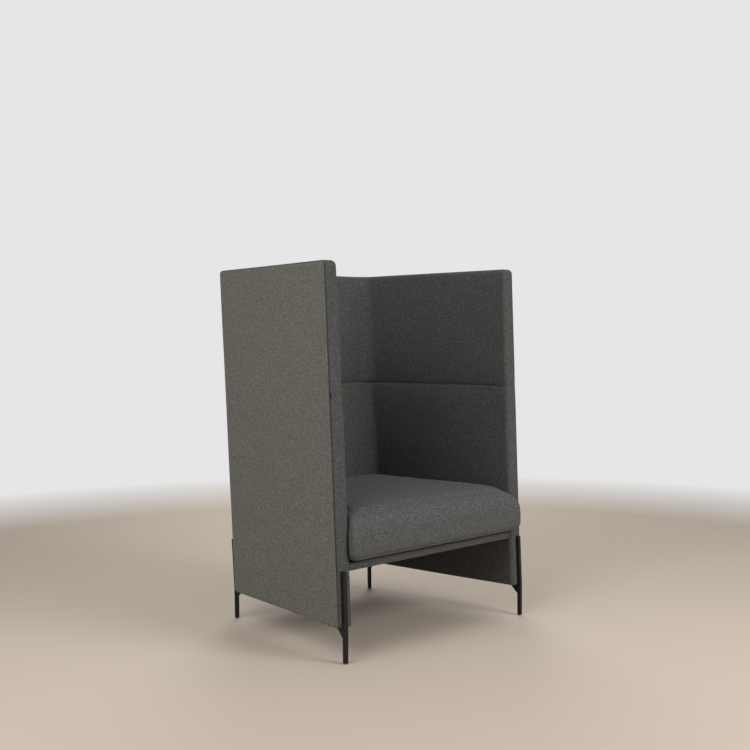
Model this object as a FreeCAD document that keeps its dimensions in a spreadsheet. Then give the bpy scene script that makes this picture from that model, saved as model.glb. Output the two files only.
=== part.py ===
import FreeCAD, Part
import math
import os
from types import SimpleNamespace

import Sketcher

Vector = FreeCAD.Vector

# Acoustic high back lounge chair.
# The origin lies on the floor in the middle of the chair's footprint. X runs across the seat, the open
# front faces -Y and Z points up. Lengths are millimetres and angles are degrees.

doc = FreeCAD.newDocument("high_back_chair")

# Driving dimensions

DIMENSIONS = {
    # shell of three padded walls, open at the front
    "overall_height": (1270, "top edge of the walls above the floor"),
    "shell_bottom": (114, "underside of the walls above the floor"),
    "half_width": (407, "outer face of a side wall at mid depth, at floor level"),
    "splay_angle": (6.17, "how far each side wall opens towards the front"),
    "flare": (0.0104, "how far each side wall leans outwards per unit of height"),
    "front_edge": (-370.7, "front edge of the side walls, carried down to the floor"),
    "front_rake": (0.036, "how far the front edge leans back per unit of height"),
    "back_face": (332.8, "outer face of the back wall, carried down to the floor"),
    "back_rake": (0.0516, "how far the back wall leans back per unit of height"),
    "corner_radius": (100, "outer radius of the two rear corners"),
    "join_setback": (40, "straight run between a rear corner and the side wall's seam"),
    # layers of a wall, counted inwards from its outer face
    "cover_thick": (4, "outer fabric on acoustic felt"),
    "board_thick": (15, "plywood board"),
    "wall_thick": (48, "whole wall at the top edge"),
    "edge_wrap": (8, "padding wrapped over the front end and top of the board"),
    "top_corner": (16, "radius of the side walls' top front corners, twice the edge wrap"),
    "closing_strip": (2, "dark strip that closes the underside of the walls"),
    "strip_margin": (2, "how far the closing strip stays back from the wall faces"),
    "seam_level": (846, "seam between the upper and the lower padding"),
    "upper_corner": (52, "inner corner radius of the upper padding"),
    "lower_corner": (26, "inner corner radius of the lower padding"),
    "front_swell": (5.6, "extra thickness of the lower padding at the front edge"),
    "side_swell": (9, "extra thickness of the lower padding beside the seat"),
    "lumbar_swell": (28, "extra thickness of the lower padding behind the sitter"),
    "seam_tuck": (5, "how far the padding is drawn in at the seam"),
    "side_crown": (3, "crown of a side padding along its length"),
    # seat frame
    "rail_bottom": (288, "underside of the seat rails"),
    "rail_height": (24, "height of the seat rails"),
    "rail_width": (45, "width of the seat rails, which lie flat"),
    "rail_front": (-352, "front face of the front rail"),
    "rail_wrap": (2, "fabric round the front rail"),
    "rail_nose": (6, "padding on the front face of the front rail"),
    "strap_width": (50, "width of a webbing strap"),
    "strap_thick": (2, "thickness of a webbing strap"),
    "strap_pitch": (96, "distance between webbing straps"),
    "cloth_thick": (2, "deck cloth and dust cover"),
    # seat cushion
    "cushion_bottom": (318.5, "underside of the loose cushion"),
    "cushion_top": (485, "crown of the loose cushion"),
    "cushion_front": (-398.3, "front of the cushion"),
    "cushion_rear": (281, "rear of the cushion"),
    "cushion_half": (345, "half width of the cushion at mid depth"),
    "cushion_splay": (7.3, "how far each side of the cushion opens towards the front"),
    "cushion_front_corner": (18, "plan radius of the front corners at the cushion's sides"),
    "cushion_rear_corner": (30, "plan radius of the rear corners at the cushion's sides"),
    "cushion_neck": (22, "distance from a front corner's middle to where the side meets the wall"),
    "cushion_skin": (3, "fabric and wadding round the foam core"),
    # legs
    "leg_bar": (14, "side of the square leg bar"),
    "leg_foot": (12, "side of the leg bar at the floor"),
    "leg_top": (292, "top of the strip that runs up the wall"),
    "leg_inset": (20.5, "front leg's centre from the outer face of the wall"),
    "leg_gusset": (28, "slanted web between the leg and its tongue"),
    "tongue_thick": (4, "thickness of the tongue under the wall"),
    "tongue_width": (28, "width of the tongue under the wall"),
    "front_tongue": (72, "length of a front leg's tongue"),
    "rear_tongue": (42, "length of a rear leg's tongue"),
    "rear_leg_angle": (62, "place of a rear leg round its corner, from the X direction"),
    "glide_height": (3, "plastic glide under each leg"),
    "glide_diameter": (11, "plastic glide under each leg"),
    # fasteners
    "screw_shank": (5, "shank diameter of a hexagon screw"),
    "screw_head": (9, "width of a screw's head across its corners"),
    "screw_head_height": (3, "height of a screw's head"),
    "leg_screw_length": (30, "length of a leg screw with its head"),
    "rail_screw_length": (45, "length of a rail screw with its head"),
    "screw_sink": (1, "how far a rail screw's head lies below the board's face"),
}


class Size:
    """A number together with the sheet expression that it comes from."""

    def __init__(self, number, text):
        self.number = number
        self.text = text

    def combined(self, other, sign, number):
        text = other.text if isinstance(other, Size) else repr(other)
        return Size(number, "(%s %s %s)" % (self.text, sign, text))

    def __add__(self, other):
        return self.combined(other, "+", self.number + number_of(other))

    def __sub__(self, other):
        return self.combined(other, "-", self.number - number_of(other))

    def __mul__(self, other):
        return self.combined(other, "*", self.number * number_of(other))

    def __truediv__(self, other):
        return self.combined(other, "/", self.number / number_of(other))

    def __neg__(self):
        return Size(-self.number, "(-1 * %s)" % self.text)

    def __radd__(self, other):
        return fixed(other) + self

    def __rsub__(self, other):
        return fixed(other) - self

    def __rmul__(self, other):
        return fixed(other) * self


def number_of(value):
    return value.number if isinstance(value, Size) else value


def fixed(value):
    return value if isinstance(value, Size) else Size(value, repr(value))


def sine(angle):
    return Size(math.sin(math.radians(angle.number)), "sin(%s * 1 deg)" % angle.text)


def cosine(angle):
    return Size(math.cos(math.radians(angle.number)), "cos(%s * 1 deg)" % angle.text)


def fill_sheet():
    """Write the driving dimensions into the sheet and return them by name."""
    sheet = doc.addObject("Spreadsheet::Sheet", "Sizes")
    named = {}
    for row, (name, (value, note)) in enumerate(DIMENSIONS.items(), start=1):
        sheet.set("A%d" % row, name)
        sheet.set("B%d" % row, str(value))
        sheet.set("C%d" % row, note)
        sheet.setAlias("B%d" % row, name)
        named[name] = Size(value, "Sizes.%s" % name)
    doc.recompute()
    return SimpleNamespace(**named)


d = fill_sheet()

WALL_SIN = sine(d.splay_angle)
WALL_COS = cosine(d.splay_angle)
WALL_TAN = WALL_SIN / WALL_COS

# Levels and depths that several pieces share

BOARD_OUT = d.cover_thick
BOARD_IN = d.cover_thick + d.board_thick
RAIL_IN = BOARD_IN + d.rail_width
STRIP_TOP = d.shell_bottom + d.closing_strip
BOARD_TOP = d.overall_height - d.edge_wrap
LINING_TOP = d.rail_bottom - d.rail_wrap
RAIL_TOP = d.rail_bottom + d.rail_height
CROSS_STRAP = RAIL_TOP + d.strap_thick
CLOTH_BOTTOM = RAIL_TOP + 2 * d.strap_thick
CLOTH_TOP = CLOTH_BOTTOM + d.cloth_thick


# Places in the shell
# A wall point is found by its distance from the front edge along the wall, its depth inwards from the
# outer face and its level above the floor.

def front_y(level):
    return d.front_edge + d.front_rake * level


def back_y(level):
    return d.back_face + d.back_rake * level


def wall_x(y, depth, level):
    """X of the right wall's plane at the given depth, where that plane crosses y."""
    return d.half_width + d.flare * level - WALL_TAN * y - depth / WALL_COS


def wall_point(along, depth, level):
    start_y = front_y(level)
    start_x = wall_x(start_y, fixed(0), level)
    x = start_x - WALL_SIN * along - WALL_COS * depth
    y = start_y + WALL_COS * along - WALL_SIN * depth
    return x, y


def corner_centre(level, radius, side_depth, back_depth):
    """Centre of an arc that touches the side wall's and the back wall's planes at their depths."""
    y = back_y(level) - back_depth - radius
    x = wall_x(y, side_depth + radius, level)
    return x, y


def shell_corner(level):
    return corner_centre(level, d.corner_radius, fixed(0), fixed(0))


def join_along(level):
    """Distance from the front edge to the seam in front of the rear corner."""
    y = shell_corner(level)[1] + d.corner_radius * WALL_SIN
    return (y - front_y(level)) / WALL_COS - d.join_setback


def corner_steps(first_angle, last_angle, count):
    """Levels up the rounded top front corner, each with its distance back from the front edge."""
    steps = []
    for number in range(count):
        angle = fixed(first_angle + (last_angle - first_angle) * number / (count - 1))
        level = d.overall_height - d.top_corner + d.top_corner * sine(angle)
        steps.append((level, d.top_corner - d.top_corner * cosine(angle)))
    return steps


# Sketches

def origin_plane(body, role):
    for feature in body.Origin.OriginFeatures:
        if feature.Role == role:
            return feature
    raise ValueError(role)


def new_sketch(body, name, role, offset):
    sketch = body.newObject("Sketcher::SketchObject", name)
    sketch.AttachmentSupport = (origin_plane(body, role), "")
    sketch.MapMode = "FlatFace"
    sketch.setExpression("AttachmentOffset.Base.z", fixed(offset).text)
    return sketch


def add_arc(sketch, start, end, radius, turn):
    """Arc of less than a half circle; turn is 1 where it runs anticlockwise from start to end."""
    chord = end - start
    middle = (start + end) / 2
    to_centre = math.sqrt(max(radius ** 2 - chord.Length ** 2 / 4, 0))
    left = Vector(-chord.y, chord.x, 0).normalize()
    centre = middle + left * to_centre * turn
    first, last = (start, end) if turn > 0 else (end, start)
    first_angle = math.atan2(first.y - centre.y, first.x - centre.x)
    last_angle = math.atan2(last.y - centre.y, last.x - centre.x)
    if last_angle < first_angle:
        last_angle += 2 * math.pi
    circle = Part.Circle(centre, Vector(0, 0, 1), radius)
    return sketch.addGeometry(Part.ArcOfCircle(circle, first_angle, last_angle))


def bind(sketch, constraint, size):
    """Add a dimension to a sketch and tie it to the sheet."""
    added = sketch.addConstraint(constraint)
    sketch.setExpression("Constraints[%d]" % added, size.text)


def draw_outline(sketch, corners):
    """Draw a closed outline. A corner is (x, y), or (x, y, radius, turn) where an arc leaves it."""
    places = [Vector(corner[0].number, corner[1].number, 0) for corner in corners]
    ends = []
    for index, corner in enumerate(corners):
        start = places[index]
        end = places[(index + 1) % len(places)]
        if len(corner) == 4:
            edge = add_arc(sketch, start, end, corner[2].number, corner[3])
            ends.append((edge, 1, 2) if corner[3] > 0 else (edge, 2, 1))
            bind(sketch, Sketcher.Constraint("Radius", edge, corner[2].number), corner[2])
        else:
            edge = sketch.addGeometry(Part.LineSegment(start, end))
            ends.append((edge, 1, 2))
    for index, (edge, _, finish) in enumerate(ends):
        following = ends[(index + 1) % len(ends)]
        sketch.addConstraint(Sketcher.Constraint("Coincident", edge, finish, following[0], following[1]))
    for index, (edge, begin, _) in enumerate(ends):
        for kind, axis in (("DistanceX", 0), ("DistanceY", 1)):
            size = corners[index][axis]
            bind(sketch, Sketcher.Constraint(kind, edge, begin, size.number), size)


# Kinds of body

def new_body(name):
    return doc.addObject("PartDesign::Body", name)


def lofted(name, levels, outline):
    """Body through one horizontal outline per level; outline(level, index) returns its corners."""
    body = new_body(name)
    sketches = []
    for index, level in enumerate(levels):
        sketch = new_sketch(body, "%s_outline%d" % (name, index), "XY_Plane", level)
        draw_outline(sketch, outline(level, index))
        sketches.append(sketch)
    loft = body.newObject("PartDesign::AdditiveLoft", name + "_loft")
    loft.Profile = sketches[0]
    loft.Sections = sketches[1:]
    loft.Ruled = True
    return body


def padded_up(name, level, height, corners):
    """Body of one flat outline raised by a height."""
    body = new_body(name)
    sketch = new_sketch(body, name + "_outline", "XY_Plane", level)
    draw_outline(sketch, corners)
    pad = body.newObject("PartDesign::Pad", name + "_pad")
    pad.Profile = sketch
    pad.setExpression("Length", height.text)
    return body


def cut(name, base, *tools):
    """Base with each tool taken away, under the given name."""
    result = base
    for number, tool in enumerate(tools, start=1):
        last = number == len(tools)
        step = doc.addObject("Part::Cut", name if last else "%s_step%d" % (name, number))
        step.Base = result
        step.Tool = tool
        result = step
    return result


def mirrored(name, source):
    copy = doc.addObject("Part::Mirroring", name)
    copy.Source = source
    copy.Base = Vector(0, 0, 0)
    copy.Normal = Vector(1, 0, 0)
    return copy


def group(name, members):
    compound = doc.addObject("Part::Compound", name)
    compound.Links = members
    return compound


PIECES = {}


def keep(name, piece):
    """Give a finished piece its label and put it on the list of pieces."""
    piece.Label = name
    PIECES[name] = piece
    return piece


def keep_pair(name, right_piece):
    """Keep the right-hand piece and its mirror image."""
    keep(name + "_right", right_piece)
    keep(name + "_left", mirrored(name + "_left", right_piece))


# Outlines of the walls

def side_outline(level, outer, inner, front, rear):
    """Straight stretch of the right wall between two depths and two distances from the front edge."""
    return [
        wall_point(rear, outer, level),
        wall_point(rear, inner, level),
        wall_point(front, inner, level),
        wall_point(front, outer, level),
    ]


def half_turn_round(level, along, depth, side_depth, back_depth, radius):
    """Right half of a layer's face: seam, start and end of the corner arc, from front to back."""
    centre_x, centre_y = corner_centre(level, radius, side_depth, back_depth)
    seam = wall_point(along, depth, level)
    side_touch = (centre_x + radius * WALL_COS, centre_y + radius * WALL_SIN)
    back_touch = (centre_x, centre_y + radius)
    return seam, side_touch, back_touch


def tub_outline(level, outer, inner_side, inner_back, inner_radius, along):
    """Layer that runs along the back wall and round both rear corners, from seam to seam."""
    outer_radius = d.corner_radius - outer
    seam, side, back = half_turn_round(level, along, outer, outer, outer, outer_radius)
    in_seam, in_side, in_back = half_turn_round(
        level, along, inner_side, inner_side, inner_back, inner_radius)
    return [
        seam,
        side + (outer_radius, 1),
        back,
        (-back[0], back[1], outer_radius, 1),
        (-side[0], side[1]),
        (-seam[0], seam[1]),
        (-in_seam[0], in_seam[1]),
        (-in_side[0], in_side[1], inner_radius, -1),
        (-in_back[0], in_back[1]),
        in_back + (inner_radius, -1),
        in_side,
        in_seam,
    ]


def bent_outline(level, outer, inner, along):
    """Layer from a place on the side wall round the right rear corner to the flat of the back."""
    outer_radius = d.corner_radius - outer
    inner_radius = d.corner_radius - inner
    start, side, back = half_turn_round(level, along, outer, outer, outer, outer_radius)
    in_start, in_side, in_back = half_turn_round(level, along, inner, inner, inner, inner_radius)
    return [start, side + (outer_radius, 1), back, in_back + (inner_radius, -1), in_side, in_start]


def flat_back_outline(level, outer, inner):
    """Layer on the flat of the back, between the two rear corners."""
    half = shell_corner(level)[0]
    rear = back_y(level) - outer
    front = back_y(level) - inner
    return [(half, rear), (-half, rear), (-half, front), (half, front)]


# Boards and covers

def build_boards():
    """Plywood boards of the shell, which carry everything else."""
    levels = (STRIP_TOP, BOARD_TOP)

    def side(level, index):
        return side_outline(level, BOARD_OUT, BOARD_IN, d.edge_wrap, join_along(level))

    def corner(level, index):
        return bent_outline(level, BOARD_OUT, BOARD_IN, join_along(level))

    def back(level, index):
        return flat_back_outline(level, BOARD_OUT, BOARD_IN)

    return {
        "side": lofted("side_board_blank", levels, side),
        "corner": lofted("corner_board_blank", levels, corner),
        "back": lofted("back_board_blank", levels, back),
    }


def build_covers():
    """Outer fabric on its felt: one piece on each side and rear corner, one on the flat of the back."""
    rows = [(STRIP_TOP, fixed(0))] + corner_steps(0, 90, 7)

    def side(level, index):
        return bent_outline(level, fixed(0), BOARD_OUT, rows[index][1])

    def back(level, index):
        return flat_back_outline(level, fixed(0), BOARD_OUT)

    keep_pair("side_cover", lofted("side_cover_right", [row[0] for row in rows], side))
    keep("back_cover", lofted("back_cover", (STRIP_TOP, d.overall_height), back))


def build_closing_strips():
    """Dark strips that close the underside of the three walls."""
    levels = (d.shell_bottom, STRIP_TOP)
    inner = d.wall_thick - d.strip_margin

    def side(level, index):
        return side_outline(level, d.strip_margin, inner, d.strip_margin, join_along(level))

    def back(level, index):
        radius = d.corner_radius - inner
        return tub_outline(level, d.strip_margin, inner, inner, radius, join_along(level))

    return {
        "side": lofted("side_strip_blank", levels, side),
        "back": lofted("back_strip_blank", levels, back),
    }


# Padding
# Each tier is a list of levels. With every level go the padding's extra thickness at the front edge, at
# the seam beside the corner and behind the sitter.

def upper_tier():
    tuck = d.seam_tuck
    none = fixed(0)
    return [
        (d.seam_level, -tuck, -tuck, -tuck),
        (d.seam_level + 8, -tuck * 0.4, -tuck * 0.4, -tuck * 0.4),
        (d.seam_level + 24, none, none, none),
        (d.seam_level + 150, none, tuck * 0.4, tuck * 0.4),
        (d.seam_level + 290, none, tuck * 0.3, tuck * 0.3),
        (BOARD_TOP, none, none, none),
    ]


def lower_tier():
    """The seat's side runs on at the front; the lumbar swell is fullest above the cushion."""
    front = d.front_swell
    side = d.side_swell
    lumbar = d.lumbar_swell
    return [
        (CLOTH_TOP, front, side * 0.8, lumbar * 0.5),
        (d.seam_level - 400, front, side, lumbar * 0.88),
        (d.seam_level - 300, front, side, lumbar),
        (d.seam_level - 210, front, side * 0.96, lumbar * 0.9),
        (d.seam_level - 130, front, side * 0.88, lumbar * 0.64),
        (d.seam_level - 60, front, side * 0.68, lumbar * 0.34),
        (d.seam_level - 12, front, side * 0.4, lumbar * 0.14),
        (d.seam_level, fixed(0), fixed(0), fixed(0)),
    ]


def lining_tier():
    front = d.front_swell
    return [(STRIP_TOP, front, front, front), (LINING_TOP, front, front, front)]


def side_padding(name, tier):
    """Padding on the inside of the right board, from the edge band to the seam by the corner."""

    def outline(level, index):
        _, at_front, at_join, _ = tier[index]
        rear = join_along(level)
        run = rear - d.edge_wrap
        crown_radius = run * run / (8 * d.side_crown)
        return [
            wall_point(rear, BOARD_IN, level),
            wall_point(rear, d.wall_thick + at_join, level) + (crown_radius, -1),
            wall_point(d.edge_wrap, d.wall_thick + at_front, level),
            wall_point(d.edge_wrap, BOARD_IN, level),
        ]

    return lofted(name, [row[0] for row in tier], outline)


def back_padding(name, tier, radius):
    """Padding of the back wall, which turns round both rear corners."""

    def outline(level, index):
        _, _, at_join, behind = tier[index]
        return tub_outline(level, BOARD_IN, d.wall_thick + at_join, d.wall_thick + behind, radius,
                           join_along(level))

    return lofted(name, [row[0] for row in tier], outline)


def build_padding():
    """Upper and lower padding on the inside of the three walls, and the lining under the seat."""
    for tier_name, tier, radius in (
            ("upper_pad", upper_tier(), d.upper_corner),
            ("lower_pad", lower_tier(), d.lower_corner),
            ("under_lining", lining_tier(), d.lower_corner)):
        keep_pair(tier_name, side_padding(tier_name + "_right", tier))
        keep(tier_name + "_back", back_padding(tier_name + "_back", tier, radius))


def build_bands():
    """Padded bands that finish the front edges of the side walls and the top of all three walls."""
    none = fixed(0)
    front_rows = [
        (STRIP_TOP, none, d.front_swell),
        (d.seam_level - 10, none, d.front_swell),
        (d.seam_level, none, none),
    ] + [(level, back, none) for level, back in corner_steps(0, 30, 3)]
    top_rows = corner_steps(30, 90, 5)

    def front(level, index):
        _, back, swell = front_rows[index]
        depth = d.wall_thick + swell
        return [
            wall_point(d.edge_wrap, d.cover_thick, level),
            wall_point(d.edge_wrap, depth, level) + (d.edge_wrap, 1),
            wall_point(back, depth - d.edge_wrap, level),
            wall_point(back, d.cover_thick, level),
        ]

    def top(level, index):
        angle = fixed(90 * index / (len(top_rows) - 1))
        drawn_in = d.edge_wrap - d.edge_wrap * cosine(angle)
        return tub_outline(level, d.cover_thick, d.wall_thick - drawn_in, d.wall_thick - drawn_in,
                           d.upper_corner, top_rows[index][1])

    keep_pair("edge_band", lofted("edge_band_right", [row[0] for row in front_rows], front))
    keep("top_band", lofted("top_band", [row[0] for row in top_rows], top))


# Seat frame

def build_rails():
    """Rails that lie flat on the inside of the boards, with a block in each rear corner."""
    levels = (d.rail_bottom, RAIL_TOP)

    def front(level, index):
        rear_y = d.rail_front + d.rail_width
        front_x = wall_x(d.rail_front, BOARD_IN, level)
        rear_x = wall_x(rear_y, BOARD_IN, level)
        return [(rear_x, rear_y), (-rear_x, rear_y), (-front_x, d.rail_front), (front_x, d.rail_front)]

    def side(level, index):
        front_y_here = d.rail_front + d.rail_width
        rear_y = shell_corner(level)[1]
        return [
            (wall_x(rear_y, BOARD_IN, level), rear_y),
            (wall_x(rear_y, RAIL_IN, level), rear_y),
            (wall_x(front_y_here, RAIL_IN, level), front_y_here),
            (wall_x(front_y_here, BOARD_IN, level), front_y_here),
        ]

    def rear(level, index):
        half = shell_corner(level)[0]
        outer = back_y(level) - BOARD_IN
        inner = outer - d.rail_width
        return [(half, outer), (-half, outer), (-half, inner), (half, inner)]

    def block(level, index):
        half, centre_y = shell_corner(level)
        outer = back_y(level) - BOARD_IN
        return [
            (wall_x(centre_y, BOARD_IN, level), centre_y),
            (half, outer),
            (half, outer - d.rail_width),
            (wall_x(centre_y, RAIL_IN, level), centre_y),
        ]

    return {
        "front": lofted("front_rail_blank", levels, front),
        "side": lofted("side_rail_blank", levels, side),
        "rear": lofted("rear_rail_blank", levels, rear),
        "block": lofted("corner_block_right", levels, block),
    }


def build_rail_cover(front_rail):
    """Padded fabric that wraps the visible front rail between the two side walls."""
    levels = (LINING_TOP, RAIL_TOP + d.rail_wrap)
    front = d.rail_front - d.rail_nose
    rear = d.rail_front + d.rail_width
    depth = d.wall_thick + d.front_swell + 1

    def outline(level, index):
        front_x = wall_x(front, depth, level)
        rear_x = wall_x(rear, depth, level)
        return [(rear_x, rear), (-rear_x, rear), (-front_x, front), (front_x, front)]

    blank = lofted("front_rail_cover_blank", levels, outline)
    keep("front_rail_cover", cut("front_rail_cover", blank, front_rail))


def strap(name, x, y, level, length_x, length_y):
    box = doc.addObject("Part::Box", name)
    box.setExpression("Length", length_x.text)
    box.setExpression("Width", length_y.text)
    box.setExpression("Height", d.strap_thick.text)
    box.setExpression("Placement.Base.x", x.text)
    box.setExpression("Placement.Base.y", y.text)
    box.setExpression("Placement.Base.z", level.text)
    return box


def build_webbing():
    """Elastic straps across the seat frame, and a second layer from front to back over them."""
    straps = []
    for number in range(-2, 3):
        middle = number * d.strap_pitch
        half = wall_x(middle + d.strap_width, BOARD_IN + d.edge_wrap, RAIL_TOP)
        straps.append(strap("cross_strap%d" % (number + 2), -half, middle - d.strap_width / 2, RAIL_TOP,
                            2 * half, d.strap_width))
    front = d.rail_front + d.rail_width / 3
    rear = back_y(RAIL_TOP) - BOARD_IN - d.rail_width / 3
    for number in range(-2, 3):
        middle = number * d.strap_pitch
        straps.append(strap("long_strap%d" % (number + 2), middle - d.strap_width / 2, front, CROSS_STRAP,
                            d.strap_width, rear - front))
    keep("seat_webbing", group("seat_webbing", straps))


def sheet_outline(level, depth, front):
    """Flat cloth inside the shell that stays the given depth from the walls' outer faces."""
    half, centre_y = shell_corner(level)
    side_front = wall_x(front, depth, level)
    side_rear = wall_x(centre_y, depth, level)
    rear = back_y(level) - depth
    corner = half - depth / 2
    return [
        (side_front, front),
        (side_rear, centre_y),
        (corner, rear),
        (-corner, rear),
        (-side_rear, centre_y),
        (-side_front, front),
    ]


def build_cloths():
    """Deck cloth over the webbing and dust cover under the rails."""
    deck_front = d.rail_front + d.rail_width / 3
    deck = sheet_outline(CLOTH_BOTTOM, BOARD_IN + d.edge_wrap, deck_front)
    keep("deck_cloth", padded_up("deck_cloth", CLOTH_BOTTOM, d.cloth_thick, deck))
    dust_bottom = d.rail_bottom - d.cloth_thick
    dust = sheet_outline(dust_bottom, d.wall_thick + d.edge_wrap, d.rail_front + d.rail_width)
    keep("dust_cover", padded_up("dust_cover", dust_bottom, d.cloth_thick, dust))


# Seat cushion

def cushion_rows():
    """Levels of the cushion: how far its front and its other sides are drawn in there, and how far its
    front corners bulge out in front of the walls' edges."""
    low = d.cushion_bottom
    high = d.cushion_top
    return [
        (low, 14, 11, 6),
        (low + 7, 4, 4, 12),
        (low + 24, 0, 0, 14.5),
        (low + 88, 1, 0, 14),
        (low + 112, 7, 2, 9),
        (low + 132, 20, 7, 2),
        (low + 148, 46, 20, 0),
        (low + 160, 100, 64, 0),
        (high, 190, 150, 0),
    ]


def cushion_outline(drawn_front, drawn_side, bulge, skin):
    """Rounded four-sided outline, wider at the front, drawn in by the given amounts."""
    tangent = sine(d.cushion_splay) / cosine(d.cushion_splay)
    cos_side = cosine(d.cushion_splay)
    sin_side = sine(d.cushion_splay)
    front = d.cushion_front + skin + drawn_front
    rear = d.cushion_rear - skin - drawn_side
    half = d.cushion_half - skin / cos_side - drawn_side
    front_radius = d.cushion_front_corner + drawn_front / 2
    rear_radius = d.cushion_rear_corner + drawn_side / 4
    end_angle = d.cushion_splay + bulge * 1.9

    def side_line(y, inset):
        return half - tangent * y - inset / cos_side

    front_centre_y = front + front_radius
    front_centre_x = side_line(front_centre_y, front_radius) + bulge
    front_end_x = front_centre_x + front_radius * cosine(end_angle)
    front_end_y = front_centre_y + front_radius * sine(end_angle)
    neck_y = front_centre_y + d.cushion_neck
    neck_x = side_line(neck_y, fixed(0))
    rear_centre_y = rear - rear_radius
    rear_centre_x = side_line(rear_centre_y, rear_radius)
    rear_side_x = rear_centre_x + rear_radius * cos_side
    rear_side_y = rear_centre_y + rear_radius * sin_side
    return [
        (front_centre_x, front, front_radius, 1),
        (front_end_x, front_end_y),
        (neck_x, neck_y),
        (rear_side_x, rear_side_y, rear_radius, 1),
        (rear_centre_x, rear),
        (-rear_centre_x, rear, rear_radius, 1),
        (-rear_side_x, rear_side_y),
        (-neck_x, neck_y),
        (-front_end_x, front_end_y, front_radius, 1),
        (-front_centre_x, front),
    ]


def cushion_body(name, skin):
    rows = cushion_rows()
    levels = [row[0] for row in rows]
    levels[0] = levels[0] + skin
    levels[-1] = levels[-1] - skin

    def outline(level, index):
        _, drawn_front, drawn_side, bulge = rows[index]
        return cushion_outline(drawn_front, drawn_side, bulge, skin)

    return lofted(name, levels, outline)


def build_cushion():
    """Loose seat cushion: a foam core inside its fabric cover."""
    outer = cushion_body("cushion_cover_blank", fixed(0))
    core = keep("cushion_foam", cushion_body("cushion_foam", d.cushion_skin))
    keep("cushion_cover", cut("cushion_cover", outer, core))


# Legs
# A leg is drawn in its own frame: its Y points from the leg into the wall that it carries, and the strip
# touches the wall at Y = 0 at the level of the wall's underside.

def leg_body(name, lean, tongue):
    """Square bar with a strip up the wall, a tongue under it and a slanted web between them."""
    body = new_body(name)
    under = d.shell_bottom - d.tongue_thick
    drift = lean * (d.leg_top - d.shell_bottom)
    half_taper = (d.leg_bar - d.leg_foot) / 2
    profile = new_sketch(body, name + "_profile", "YZ_Plane", 0)
    draw_outline(profile, [
        (drift - d.leg_bar, d.leg_top),
        (-d.leg_bar, d.shell_bottom),
        (half_taper - d.leg_bar, d.glide_height),
        (-half_taper, d.glide_height),
        (-half_taper, under - d.leg_gusset),
        (d.leg_gusset, under),
        (tongue, under),
        (tongue, d.shell_bottom),
        (d.leg_bar * 0, d.shell_bottom),
        (drift, d.leg_top),
    ])
    bar = body.newObject("PartDesign::Pad", name + "_bar")
    bar.Profile = profile
    bar.SideType = "Symmetric"
    bar.setExpression("Length", d.leg_bar.text)
    plate = new_sketch(body, name + "_plate", "XY_Plane", under)
    half = d.tongue_width / 2
    start = d.tongue_thick
    draw_outline(plate, [(half, start), (half, tongue), (-half, tongue), (-half, start)])
    tongue_pad = body.newObject("PartDesign::Pad", name + "_tongue")
    tongue_pad.Profile = plate
    tongue_pad.setExpression("Length", d.tongue_thick.text)
    return body


def place(piece, x, y, level, turn):
    """Move a piece from its own frame to its place, turned about the vertical."""
    piece.Placement = FreeCAD.Placement(Vector(0, 0, 0), FreeCAD.Rotation(Vector(0, 0, 1), turn.number))
    piece.setExpression("Placement.Base.x", x.text)
    piece.setExpression("Placement.Base.y", y.text)
    piece.setExpression("Placement.Base.z", fixed(level).text)
    piece.setExpression("Placement.Rotation.Angle", turn.text)
    return piece


def front_leg_frame():
    x, y = wall_point(fixed(0), d.leg_inset, d.shell_bottom)
    return x, y, d.splay_angle


def rear_leg_frame():
    centre_x, centre_y = shell_corner(d.shell_bottom)
    x = centre_x + d.corner_radius * cosine(d.rear_leg_angle)
    y = centre_y + d.corner_radius * sine(d.rear_leg_angle)
    return x, y, 90 + d.rear_leg_angle


def from_leg_frame(frame, across, inwards):
    """Place in the chair of a point in a leg's own frame."""
    x, y, turn = frame
    return (x + across * cosine(turn) - inwards * sine(turn),
            y + across * sine(turn) + inwards * cosine(turn))


def screw(name, length):
    """Hexagon screw that stands on the origin with its head below and its shank up."""
    head = doc.addObject("Part::Prism", name + "_head")
    head.Polygon = 6
    head.setExpression("Circumradius", (d.screw_head / 2).text)
    head.setExpression("Height", d.screw_head_height.text)
    shank = doc.addObject("Part::Cylinder", name + "_shank")
    shank.setExpression("Radius", (d.screw_shank / 2).text)
    shank.setExpression("Height", (length - d.screw_head_height).text)
    shank.setExpression("Placement.Base.z", d.screw_head_height.text)
    whole = doc.addObject("Part::Fuse", name)
    whole.Base = head
    whole.Tool = shank
    return whole


def build_leg_screws():
    """Screws that go up through the tongues into the edges of the boards."""
    board_middle = d.cover_thick + d.board_thick / 2
    across = d.leg_inset - board_middle
    spots = [
        (front_leg_frame(), across, d.front_tongue - 12),
        (front_leg_frame(), across, d.front_tongue - 36),
        (rear_leg_frame(), d.tongue_width / 4, board_middle),
        (rear_leg_frame(), -d.tongue_width / 4, board_middle),
    ]
    head_bottom = d.shell_bottom - d.tongue_thick - d.screw_head_height
    screws = []
    for number, (frame, sideways, inwards) in enumerate(spots):
        x, y = from_leg_frame(frame, sideways, inwards)
        screws.append(place(screw("leg_screw%d" % number, d.leg_screw_length), x, y, head_bottom, fixed(0)))
    return group("leg_screws_right", screws)


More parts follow.
